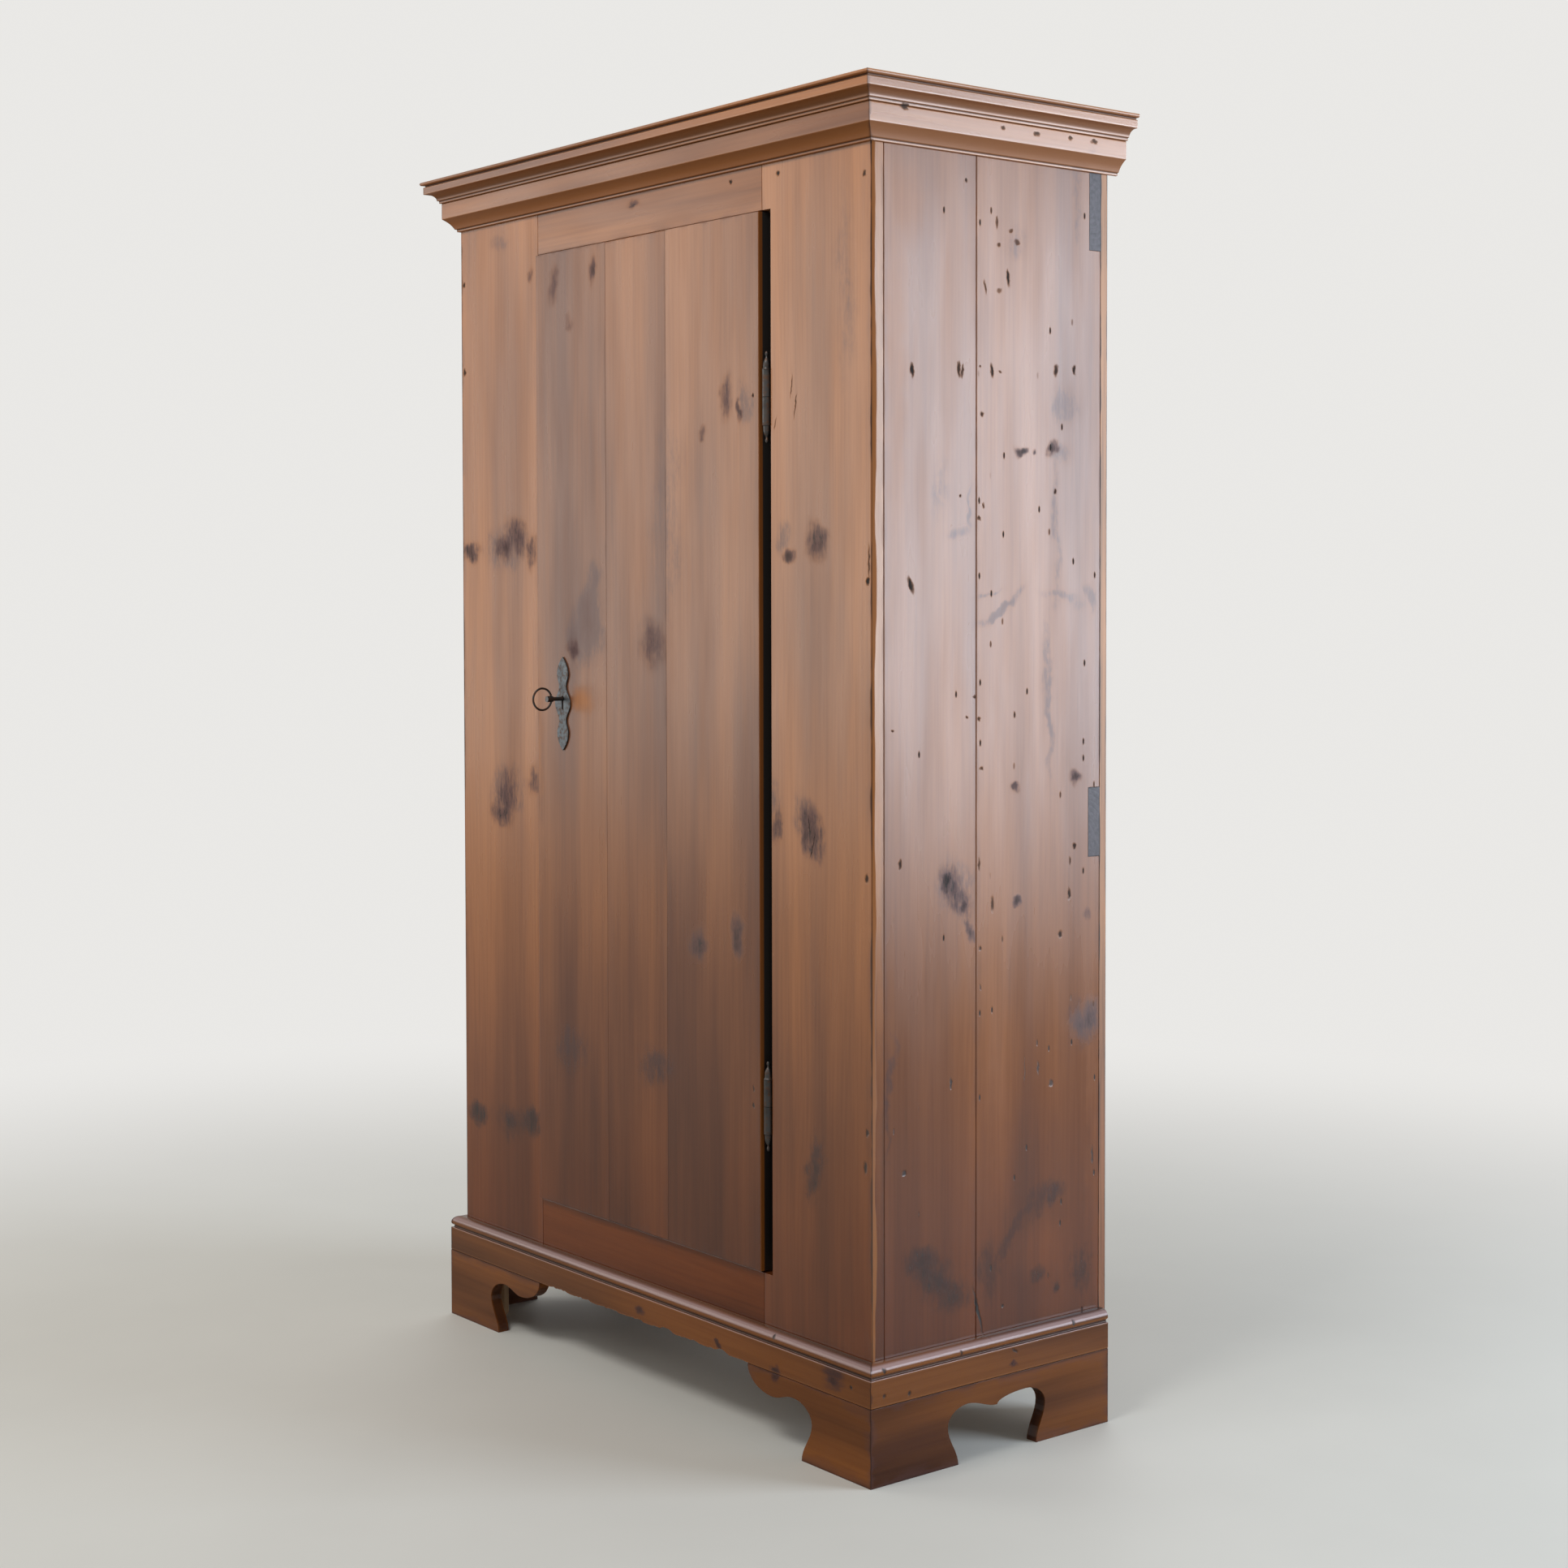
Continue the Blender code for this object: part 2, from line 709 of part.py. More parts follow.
def leaf_pocket(height, frame_side):
    """The slot for a hinge leaf, in the stile's edge or in the door's."""
    middle = height + (-1 if frame_side else 1) * (KNUCKLE_LENGTH + KNUCKLE_GAP) / 2
    half = KNUCKLE_LENGTH / 2 - LEAF_MARGIN + FIT
    inner = HINGE_X + LEAF_WIDTH + FIT if frame_side else HINGE_X - LEAF_WIDTH - FIT
    low, high = sorted((HINGE_X, inner))
    return box_cutter(
        (low, LEAF_FACE - FIT, middle - half),
        (high, LEAF_FACE + LEAF_THICKNESS + FIT, middle + half),
    )


def keyhole_cutter(front, rear):
    """A round hole on the key's axis with a slot below it, from one depth to another."""
    half = HOLE_SLOT / 2
    turn = math.degrees(math.asin(half / HOLE_RADIUS))
    outline = arc((0, 0), (HOLE_RADIUS, HOLE_RADIUS), turn - 90, 270 - turn, HOLE_STEPS)
    outline += [(-half, -HOLE_DROP), (half, -HOLE_DROP)]
    place = axes((1, 0, 0), (0, 0, 1), (0, -1, 0), (KEY_X, depth((front + rear) / 2), LOCK_HEIGHT))
    mesh = outline_mesh("keyhole", outline, rear - front)
    return as_cutter(add_part("keyhole", mesh, SCRAP, place))


def door():
    names = ("door_board_lock_side", "door_board_middle", "door_board_hinge_side")
    place = Matrix.Translation((0, FRONT, (DOOR_BOTTOM + DOOR_TOP) / 2))
    boards = []
    low = DOOR_LEFT
    for index, (name, share) in enumerate(zip(names, DOOR_BOARD_SHARES)):
        first, last = index == 0, index == len(names) - 1
        high = DOOR_RIGHT if last else low + DOOR_WIDTH * share
        outline = board_outline(
            low if first else low + FIT, high, not first, not last, first, last
        )
        mesh = outline_mesh(name, outline, DOOR_TOP - DOOR_BOTTOM)
        boards.append(add_part(name, mesh, wood(name), place))
        low = high
    cut(boards[0], keyhole_cutter(DOOR_FACE - OVERRUN, DOOR_REAR + OVERRUN))
    for height in HINGE_HEIGHTS.values():
        cut(boards[-1], leaf_pocket(height, frame_side=False))
    for name, middle in (
        ("door_batten_upper", DOOR_TOP - BATTEN_FROM_END),
        ("door_batten_lower", DOOR_BOTTOM + BATTEN_FROM_END),
    ):
        block(
            name,
            (DOOR_LEFT + BATTEN_INSET, DOOR_REAR + FIT, middle - BATTEN_HEIGHT / 2),
            (DOOR_RIGHT - BATTEN_INSET, DOOR_REAR + FIT + BATTEN_THICKNESS, middle + BATTEN_HEIGHT / 2),
            wood(name, PINE_BARE),
            arris=BATTEN_CHAMFER,
            segments=1,
        )
    block(
        "door_stop_top",
        (-INSIDE_HALF + FIT, INSIDE_FRONT, OPENING_TOP - STOP_SHOWING),
        (INSIDE_HALF - FIT, INSIDE_FRONT + STOP_THICKNESS, OPENING_TOP - STOP_SHOWING + STOP_HEIGHT),
        wood("door_stop_top", PINE_BARE),
    )


# Hinges


def turned(name, profile, material, place):
    """A turned solid from a profile of radius and height that runs down its outer side."""
    mesh = bpy.data.meshes.new(name)
    points = [(radius, 0, height) for radius, height in profile]
    mesh.from_pydata(points, [(i, i + 1) for i in range(len(points) - 1)], [])
    part = add_part(name, mesh, material, place)
    screw = part.modifiers.new("turn", "SCREW")
    screw.steps = ROUND_STEPS
    screw.render_steps = ROUND_STEPS
    screw.use_merge_vertices = True
    screw.merge_threshold = MERGE
    return part


def hinge_leaf(name, height, frame_side):
    """A knuckle bored for the pin, with the flat leaf that is let into the wood's edge."""
    sign = -1 if frame_side else 1
    middle = height + sign * (KNUCKLE_LENGTH + KNUCKLE_GAP) / 2
    half = KNUCKLE_LENGTH / 2
    knuckle = add_part(
        name,
        rod_mesh(name, KNUCKLE_RADIUS, KNUCKLE_LENGTH),
        iron(name),
        Matrix.Translation((HINGE_X, FRONT, middle)),
    )
    tip = HINGE_X - sign * LEAF_WIDTH
    low, high = sorted((HINGE_X, tip))
    leaf = block(
        "leaf",
        (low, LEAF_FACE, middle - half + LEAF_MARGIN),
        (high, LEAF_FACE + LEAF_THICKNESS, middle + half - LEAF_MARGIN),
        SCRAP,
        arris=0.0,
    )
    join(knuckle, leaf)
    cut(knuckle, rod_cutter((HINGE_X, 0, middle), PIN_RADIUS + FIT, KNUCKLE_LENGTH + OVERRUN))


def hinge_pin(name, height):
    """The pin through both knuckles, with a turned finial at each end."""
    half = HINGE_LENGTH / 2
    finial = [(r * KNUCKLE_RADIUS, half - t * FINIAL_LENGTH) for t, r in FINIAL_SHARES]
    seat = half - FINIAL_LENGTH + FIT
    top = finial + [(KNUCKLE_RADIUS, seat), (PIN_RADIUS, seat)]
    bottom = [(radius, -z) for radius, z in reversed(top)]
    turned(name, top + bottom, iron(name), Matrix.Translation((HINGE_X, FRONT, height)))


def hinges():
    for level, height in HINGE_HEIGHTS.items():
        hinge_leaf(f"hinge_{level}_door_leaf", height, frame_side=False)
        hinge_leaf(f"hinge_{level}_frame_leaf", height, frame_side=True)
        hinge_pin(f"hinge_{level}_pin", height)


# Lock and key


def lock_case():
    """A tray of sheet iron, open towards the door, with a stud that guides the bolt."""
    low_z = LOCK_HEIGHT - CASE_HEIGHT / 2
    high_z = LOCK_HEIGHT + CASE_HEIGHT / 2
    case = block(
        "lock_case",
        (CASE_LEFT, CASE_FRONT, low_z),
        (CASE_RIGHT, CASE_BACK, high_z),
        iron("lock_case", IRON_BRIGHT),
        arris=CASE_ARRIS,
        segments=1,
    )
    inner_back = CASE_BACK - CASE_WALL
    cut(
        case,
        box_cutter(
            (CASE_LEFT + CASE_WALL, CASE_FRONT - OVERRUN, low_z + CASE_WALL),
            (CASE_RIGHT - CASE_WALL, inner_back, high_z - CASE_WALL),
        ),
    )
    bolt_front, bolt_rear, bolt_low, bolt_high = bolt_section()
    cut(
        case,
        box_cutter(
            (CASE_LEFT - OVERRUN, bolt_front - FIT, bolt_low - FIT),
            (CASE_LEFT + CASE_WALL + OVERRUN, bolt_rear + FIT, bolt_high + FIT),
        ),
    )
    stud_length = inner_back - bolt_front + CASE_WALL / 2
    stud = add_part("stud", rod_mesh("stud", STUD_RADIUS, stud_length), SCRAP)
    stud.matrix_world = Matrix.Translation(
        (KEY_X - STUD_BEFORE_AXIS, depth(bolt_front + stud_length / 2), (bolt_low + bolt_high) / 2)
    ) @ Matrix.Rotation(math.pi / 2, 4, "X")
    join(case, stud)
    seat_cutter = rod_cutter(
        (KEY_X, CASE_BACK, LOCK_HEIGHT), SHANK_RADIUS + FIT, 2 * (CASE_WALL + OVERRUN), "Y"
    )
    cut(case, seat_cutter)


def bolt_section():
    """Depths and heights between which the bolt slides."""
    front = DOOR_REAR + BOLT_FROM_DOOR
    low = LOCK_HEIGHT + BOLT_ABOVE_AXIS
    return front, front + BOLT_THICKNESS, low, low + BOLT_HEIGHT


def lock_bolt():
    """The bolt, drawn back flush with the case, with its talon and its guide slot."""
    front, rear, low, high = bolt_section()
    bolt = block(
        "lock_bolt",
        (CASE_LEFT, front, low),
        (CASE_RIGHT - CASE_WALL - BOLT_TAIL_GAP, rear, high),
        iron("lock_bolt", IRON_BRIGHT),
        arris=0.0,
    )
    talon_x = KEY_X + BOLT_THROW / 2
    talon_half = math.sqrt(BIT_REACH**2 - BOLT_ABOVE_AXIS**2) + TALON_PLAY
    cut(
        bolt,
        box_cutter(
            (talon_x - talon_half, front - OVERRUN, low - OVERRUN),
            (talon_x + talon_half, rear + OVERRUN, low + TALON_BITE + TALON_ROOM),
        ),
    )
    half = STUD_RADIUS + FIT
    stud_x = KEY_X - STUD_BEFORE_AXIS
    cut(
        bolt,
        box_cutter(
            (stud_x - half - STUD_SLOT_PLAY, front - OVERRUN, (low + high) / 2 - half),
            (stud_x + half + STUD_SLOT_PLAY + BOLT_THROW, rear + OVERRUN, (low + high) / 2 + half),
        ),
    )


def escutcheon():
    """A pierced plate whose sides wave from a point through a leaf, a neck and a waist."""
    half = PLATE_HEIGHT / 2
    stations = (
        (PLATE_WAIST, 0),
        (PLATE_NECK, half * PLATE_NECK_SHARE),
        (PLATE_LEAF, half * PLATE_LEAF_SHARE),
    )
    quarter = []
    for start, end in zip(stations, stations[1:]):
        quarter += wave_up(start, end)
    for step in range(1, PLATE_STEPS + 1):
        share = step / PLATE_STEPS
        height = half * (PLATE_LEAF_SHARE + (1 - PLATE_LEAF_SHARE) * share)
        quarter.append((PLATE_LEAF * (1 - share**2), height))
    quarter = chained(quarter)
    upper = quarter + [(-w, z) for w, z in reversed(quarter[:-1])]
    lower = [(-w, -z) for w, z in quarter[1:]] + [(w, -z) for w, z in reversed(quarter[1:-1])]
    place = axes(
        (1, 0, 0),
        (0, 0, 1),
        (0, -1, 0),
        (KEY_X, depth(PLATE_FACE + PLATE_THICKNESS / 2), LOCK_HEIGHT - PLATE_DROP),
    )
    mesh = outline_mesh("escutcheon", upper + lower, PLATE_THICKNESS)
    plate = add_part("escutcheon", mesh, iron("escutcheon"), place)
    cut(plate, keyhole_cutter(PLATE_FACE - OVERRUN, PLATE_FACE + PLATE_THICKNESS + OVERRUN))


def wave_up(start, end):
    """A half wave from one width to the next as the height grows evenly."""
    points = []
    for step in range(PLATE_STEPS + 1):
        share = step / PLATE_STEPS
        ease = (1 - math.cos(math.pi * share)) / 2
        width = start[0] + (end[0] - start[0]) * ease
        points.append((width, start[1] + (end[1] - start[1]) * share))
    return points


def key():
    """Shank, collar, ring bow and bit as one piece, its origin on the axis it turns about."""
    collar_front = BOW_NEAR + BOW_WIRE - COLLAR_LENGTH
    shank_end = CASE_BACK - CASE_WALL + SHANK_SEAT
    length = shank_end - collar_front
    shank = add_part("key", rod_mesh("key", SHANK_RADIUS, length), iron("key"))
    shank.matrix_world = Matrix.Translation(
        (KEY_X, depth((collar_front + shank_end) / 2), LOCK_HEIGHT)
    ) @ Matrix.Rotation(math.pi / 2, 4, "X")
    collar = add_part("collar", rod_mesh("collar", COLLAR_RADIUS, COLLAR_LENGTH), SCRAP)
    collar.matrix_world = Matrix.Translation(
        (KEY_X, depth(collar_front + COLLAR_LENGTH / 2), LOCK_HEIGHT)
    ) @ Matrix.Rotation(math.pi / 2, 4, "X")
    bpy.ops.mesh.primitive_torus_add(
        major_radius=BOW_RADIUS,
        minor_radius=BOW_WIRE,
        major_segments=RING_STEPS,
        minor_segments=WIRE_STEPS,
        location=(KEY_X, depth(BOW_NEAR - BOW_RADIUS), LOCK_HEIGHT),
        rotation=(0, math.pi / 2, 0),
    )
    bow = bpy.context.object
    bit_front = DOOR_REAR + BIT_FROM_DOOR
    bit = block(
        "bit",
        (KEY_X - BIT_THICKNESS / 2, bit_front, LOCK_HEIGHT - BIT_REACH),
        (KEY_X + BIT_THICKNESS / 2, bit_front + BIT_WIDTH, LOCK_HEIGHT),
        SCRAP,
        arris=0.0,
    )
    ward_y = bit_front + BIT_WIDTH / 2
    ward = box_cutter(
        (KEY_X - BIT_THICKNESS, ward_y - BIT_WARD / 2, LOCK_HEIGHT - BIT_REACH - OVERRUN),
        (KEY_X + BIT_THICKNESS, ward_y + BIT_WARD / 2, LOCK_HEIGHT - BIT_REACH / 2),
    )
    cut(bit, ward)
    join(shank, collar, bow, bit)


def moving_group(name, place, parts, parent=None):
    """Hangs parts from an empty at their joint, without moving them."""
    pivot = bpy.data.objects.new(name, None)
    PARTS.objects.link(pivot)
    pivot.location = place
    if parent is not None:
        pivot.parent = parent
        pivot.location -= parent.location
    for part in parts:
        part.parent = pivot
        part.matrix_parent_inverse = Matrix.Translation(place).inverted()
    return pivot


def moving_groups():
    on_door = ("door_board", "door_batten", "lock_case", "escutcheon")
    leaves = [item for item in PARTS.objects if item.name.endswith("door_leaf")]
    door_parts = leaves + [item for item in PARTS.objects if item.name.startswith(on_door)]
    swing = moving_group("door_swing", Vector((HINGE_X, FRONT, 0)), door_parts)
    key_place = Vector((KEY_X, FRONT, LOCK_HEIGHT))
    moving_group("key_turn", key_place, [PARTS.objects["key"]], swing)
    moving_group("bolt_slide", key_place, [PARTS.objects["lock_bolt"]], swing)


# Cornice and base moulding


def mouldings(name, profile, rear, material_name, colour=PINE):
    """One profile of reach and height along the front, mitred to a return on each side."""
    runs = (
        ("front", (0, -1, 0), (0, 0), CARCASS_WIDTH, True, True),
        ("right", (1, 0, 0), (HALF_WIDTH, 0), rear, False, True),
        ("left", (-1, 0, 0), (-HALF_WIDTH, 0), rear, True, False),
    )
    for side, out, corner, length, mitre_start, mitre_end in runs:
        label = f"{name}_{side}"
        mesh = outline_mesh(label, profile, length)
        half = length / 2
        for vertex in mesh.vertices:
            reach = vertex.co.x - MITRE_GAP
            if vertex.co.z > 0 and mitre_end:
                vertex.co.z += reach
            if vertex.co.z < 0 and mitre_start:
                vertex.co.z -= reach
        middle = 0 if side == "front" else half
        up = Vector((0, 0, 1))
        place = axes(out, up, Vector(out).cross(up), (corner[0], depth(middle), 0))
        add_part(label, mesh, wood(f"{material_name}_{side}", colour), place)


def frieze_profile():
    """Lower moulding, from its lip up: lip, hollowed splay and upright face."""
    top = CROWN_BASE - FIT
    face_base = top - FRIEZE_HEIGHT
    splay_base = face_base - SPLAY_HEIGHT
    base = splay_base - LIP_HEIGHT
    foot = LIP_REACH + SPLAY_STEP
    face = foot + SPLAY_RUN
    return chained(
        [(FIT, base), (FIT, top), (face, top)],
        hollow((face, face_base), (foot, splay_base), SPLAY_SAG, COVE_STEPS),
        [(LIP_REACH, splay_base), (LIP_REACH, base)],
    )


def crown_profile():
    """Top moulding, from its top down: nose, quirk, upright fascia, cove and bead."""
    bead = LIP_REACH + SPLAY_STEP + SPLAY_RUN + BEAD_STEP
    cove_foot = bead + COVE_STEP
    cove_head = cove_foot + COVE_RUN
    fascia = cove_head + FASCIA_STEP
    nose = NOSE_HEIGHT / 2
    nose_base = CORNICE_TOP - NOSE_HEIGHT
    quirk_base = nose_base - QUIRK_HEIGHT
    fascia_base = quirk_base - FASCIA_HEIGHT
    cove_base = fascia_base - COVE_HEIGHT
    nose_centre = (fascia + NOSE_STEP - nose, CORNICE_TOP - nose)
    return chained(
        [(FIT, CROWN_BASE), (FIT, CORNICE_TOP)],
        arc(nose_centre, (nose, nose), 90, -90, NOSE_STEPS),
        [(fascia - QUIRK_DEPTH, nose_base), (fascia - QUIRK_DEPTH, quirk_base)],
        [(fascia, quirk_base), (fascia, fascia_base)],
        arc((cove_head, cove_base), (COVE_RUN, COVE_HEIGHT), 90, 180, COVE_STEPS),
        [(bead, cove_base), (bead, CROWN_BASE)],
    )


def base_profile():
    """Base moulding, from its top down: rounded slope, nose, quirk and flat."""
    base = PLINTH_HEIGHT + FIT
    quirk_base = base + BASE_FLAT
    nose_base = quirk_base + BASE_QUIRK_HEIGHT
    nose_top = nose_base + BASE_NOSE_HEIGHT
    top = nose_top + BASE_SLOPE_HEIGHT
    slope_foot = PLINTH_REACH - BASE_SLOPE_SETBACK
    slope_run = slope_foot / 2
    inner = PLINTH_REACH - BASE_QUIRK_DEPTH
    nose = BASE_NOSE_HEIGHT / 2
    return chained(
        [(FIT, base), (FIT, top)],
        arc((slope_foot - slope_run, nose_top), (slope_run, BASE_SLOPE_HEIGHT), 90, 0, NOSE_STEPS),
        arc((PLINTH_REACH - nose, nose_base + nose), (nose, nose), 90, -90, NOSE_STEPS),
        [(inner, nose_base), (inner, quirk_base), (PLINTH_REACH, quirk_base), (PLINTH_REACH, base)],
    )


# Plinth


def ogee_up(toe, ankle):
    """The inside of a foot, from its toe on the floor up to its ankle."""
    return wave((toe, 0), (ankle, ANKLE_HEIGHT), turned=True)


def bracket_outline():
    """Front bracket from the outer corner: foot, scoop, lobe and the rise to its end."""
    scoop_u = ANKLE + SCOOP_RUN
    scoop_z = ANKLE_HEIGHT + SCOOP_RISE
    lobe_u = scoop_u + LOBE_RUN
    lobe_z = scoop_z - LOBE_FALL
    outline = chained(
        [(0, PLINTH_HEIGHT), (0, 0)],
        ogee_up(TOE, ANKLE),
        arc((scoop_u, ANKLE_HEIGHT), (SCOOP_RUN, SCOOP_RISE), 180, 90),
        wave((scoop_u, scoop_z), (lobe_u, lobe_z)),
        arc((lobe_u, PLINTH_HEIGHT), (END_RUN, PLINTH_HEIGHT - lobe_z), 270, 360),
    )
    return [(u - PLINTH_REACH, z) for u, z in outline]


def skirt_outline():
    """Side skirt from the front corner: two feet and an arch of two scoops with a drop between."""
    length = CARCASS_DEPTH + PLINTH_REACH
    rear_toe = length - SIDE_TOE_REAR
    rear_ankle = length - SIDE_ANKLE_REAR
    front_top = SIDE_ANKLE_FRONT + SIDE_SCOOP_RUN
    rear_top = rear_ankle - SIDE_SCOOP_RUN
    top = ANKLE_HEIGHT + SIDE_SCOOP_RISE
    drop_u, drop_z = (front_top + rear_top) / 2, top - SIDE_DROP_FALL
    outline = chained(
        [(0, PLINTH_HEIGHT), (0, 0)],
        ogee_up(SIDE_TOE_FRONT, SIDE_ANKLE_FRONT),
        arc((front_top, ANKLE_HEIGHT), (SIDE_SCOOP_RUN, SIDE_SCOOP_RISE), 180, 90),
        wave((front_top, top), (drop_u, drop_z)),
        arc((rear_top, drop_z), (rear_top - drop_u, SIDE_DROP_FALL), 180, 90),
        arc((rear_top, ANKLE_HEIGHT), (SIDE_SCOOP_RUN, SIDE_SCOOP_RISE), 90, 0),
        reversed(ogee_up(rear_toe, rear_ankle)),
        [(length, 0), (length, PLINTH_HEIGHT)],
    )
    return [(u - PLINTH_REACH, z) for u, z in outline]


def mitred_board(name, outline, across, out, corner, sign):
    """A sawn outline as a board against the carcass, its front end cut back at the corner."""
    thickness = PLINTH_REACH - FIT
    mesh = outline_mesh(name, outline, thickness)
    start = min(point[0] for point in outline)
    for vertex in mesh.vertices:
        if vertex.co.x < start + MERGE:
            back = thickness / 2 - sign * vertex.co.z
            vertex.co.x += back + MITRE_GAP
    middle = Vector(corner) + Vector(out) * (FIT + thickness / 2)
    place = axes(across, (0, 0, 1), Vector(across).cross(Vector((0, 0, 1))), middle)
    add_part(name, mesh, wood(name, PINE_DARK), place)


def plinth():
    for side, sign in (("right", 1), ("left", -1)):
        corner = (sign * HALF_WIDTH, FRONT, 0)
        mitred_board(
            f"bracket_front_{side}", bracket_outline(), (-sign, 0, 0), (0, -1, 0), corner, -sign
        )
        mitred_board(
            f"side_skirt_{side}", skirt_outline(), (0, 1, 0), (sign, 0, 0), corner, sign
        )
        for end, near in (("front", 0), ("rear", CARCASS_DEPTH)):
            corner_block(f"corner_block_{end}_{side}", sign, near, end)


def corner_block(name, sign, near, end):
    """A post behind a bracket that carries a corner of the carcass, its inner corner cut off."""
    inward = 1 if end == "front" else -1
    side, chamfer = BLOCK_SIDE, BLOCK_CHAMFER
    plan = [(0, 0), (side, 0), (side, side - chamfer), (side - chamfer, side), (0, side)]
    outline = [
        (sign * (HALF_WIDTH - u), depth(near) + inward * v) for u, v in plan
    ]
    height = CARCASS_BASE - FIT
    place = Matrix.Translation((0, 0, height / 2))
    add_part(name, outline_mesh(name, outline, height), wood(name, PINE_BARE), place)


clear_scene()
PARTS = new_collection("cupboard")
CUTTERS = new_collection("cutters")
SCRAP = finish("scrap", PINE, 0.5)

sides()
face_frame()
top_and_bottom()
back()
shelves()
door()
hinges()
lock_case()
lock_bolt()
escutcheon()
key()
mouldings("cornice_crown", crown_profile(), CARCASS_DEPTH + CORNICE_REAR, "crown")
mouldings("cornice_frieze", frieze_profile(), CARCASS_DEPTH + CORNICE_REAR, "frieze")
mouldings("base_moulding", base_profile(), CARCASS_DEPTH, "base", PINE_DARK)
plinth()
moving_groups()
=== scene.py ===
"""Looks of a one-door pine cupboard: stained and waxed boards, iron fittings, a plain stage.

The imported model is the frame. Flat boards, iron fittings and the key keep their shapes, and
each board gets a wood of its own, with its grain, knots and nicks. Mouldings and hinge pins
are worked out anew as finer surfaces that stand for their solids.

Metres, +Z up. The front faces -Y, X runs along it and Y runs back.
"""

import json
import math

import bpy
import numpy as np
from bpy.props import FloatProperty, FloatVectorProperty, PointerProperty
from bpy.types import Operator, Panel, PropertyGroup
from mathutils import Matrix, Vector

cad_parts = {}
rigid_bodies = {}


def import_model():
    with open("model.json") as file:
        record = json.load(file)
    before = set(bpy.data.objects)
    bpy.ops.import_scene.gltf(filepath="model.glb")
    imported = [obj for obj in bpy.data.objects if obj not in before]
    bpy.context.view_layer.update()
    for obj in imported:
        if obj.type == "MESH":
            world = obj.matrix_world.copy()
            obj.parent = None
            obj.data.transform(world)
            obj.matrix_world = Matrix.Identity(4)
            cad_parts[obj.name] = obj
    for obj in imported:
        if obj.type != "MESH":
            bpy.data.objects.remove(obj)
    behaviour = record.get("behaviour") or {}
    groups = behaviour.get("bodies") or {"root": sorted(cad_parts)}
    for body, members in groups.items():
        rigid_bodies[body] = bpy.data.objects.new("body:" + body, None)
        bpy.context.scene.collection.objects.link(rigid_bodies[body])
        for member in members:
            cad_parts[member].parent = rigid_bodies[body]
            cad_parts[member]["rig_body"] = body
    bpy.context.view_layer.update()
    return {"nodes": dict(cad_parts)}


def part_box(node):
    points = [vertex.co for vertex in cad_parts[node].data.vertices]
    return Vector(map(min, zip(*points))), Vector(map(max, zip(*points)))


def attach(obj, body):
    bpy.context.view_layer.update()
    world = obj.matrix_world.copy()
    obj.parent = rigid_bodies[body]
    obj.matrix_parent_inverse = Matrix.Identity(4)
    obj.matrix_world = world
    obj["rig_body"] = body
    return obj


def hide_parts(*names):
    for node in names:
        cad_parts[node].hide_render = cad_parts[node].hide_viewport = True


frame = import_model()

bl_info = {
    "name": "Pine cupboard",
    "version": (1, 0, 0),
    "blender": (4, 5, 0),
    "location": "View3D > Sidebar > Cupboard",
    "description": "Dresses a one-door pine cupboard with its woods, fittings and stage",
    "category": "Object",
}

FRONT_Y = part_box("front_stile_left")[0].y
WALL_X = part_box("front_stile_right")[1].x
AXES = {"X": 0, "Y": 1, "Z": 2}
THROUGH = 0.5  # a mark runs right through its board

# Small lengths and angles of the finer surfaces
WELD_REACH = 0.00002  # joins the loose triangles of a board's mesh
BEVEL_ANGLE = math.radians(50)  # sharper edges of a board are rounded
SHARP_ANGLE = math.radians(38)  # sharper edges of a new mesh aren't shaded smooth
WALL_GAP = 0.0003  # between a moulding and the wall that it lies on
MITRE_GAP = 0.0002  # kept by each moulding at a mitre
STATION = 0.005  # along a moulding
PROFILE_STEP = 0.0015  # along a profile
HOLLOW_REACH = 0.003  # over which a profile's hollows are judged
WAVER_WAVES = (5.0, 11.0, 23.0)  # sines per metre of a moulding's outside, and of its chips
CHIP_WAVES = (60.0, 120.0, 210.0, 380.0)

# Noises along the grain: waves per metre across and along it, detail and roughness
FIGURES = {
    "bands": (11.0, 0.8, 3.0, 0.55),
    "clouds": (4.0, 1.6, 2.0, 0.5),
    "streaks": (210.0, 5.0, 4.0, 0.6),
    "fading": (6.0, 1.5, 2.0, 0.5),
    "haze": (13.0, 1.6, 4.0, 0.6),
    "smear": (150.0, 9.0, 4.0, 0.5),
    "grit": (160.0, 55.0, 4.0, 0.7),
    "cracks": (230.0, 40.0, 2.0, 0.6),
    "polish": (30.0, 4.0, 3.0, 0.5),
    "pith": (3.0, 0.9, 2.0, 0.5),
    "ripple": (22.0, 3.0, 3.0, 0.5),
    "rag": (60.0, 16.0, 3.0, 0.5),
    "arris": (30.0, 7.0, 3.0, 0.5),
    "bare bands": (14.0, 1.0, 4.0, 0.6),
    "bare streaks": (180.0, 5.0, 3.0, 0.5),
    "bare clouds": (5.0, 1.2, 3.0, 0.5),
}

# Noises that push a point about: waves per metre, and how far in metres
STIRS = {"tiny": (130.0, 0.007), "close": (34.0, 0.032), "wide": (14.0, 0.07), "bare": (30.0, 0.02)}

# Lattices of scattered spots: cells per metre across and along the grain
SPECK_CELLS = (46.0, 17.0)
BARE_KNOT_CELLS = (9.0, 3.4)

# The growth rings' middle: how deep behind the face, how far that varies, and how far it strays
PITH_DEPTH = 0.045
PITH_RANGE = 0.03
PITH_DRIFT = 0.16

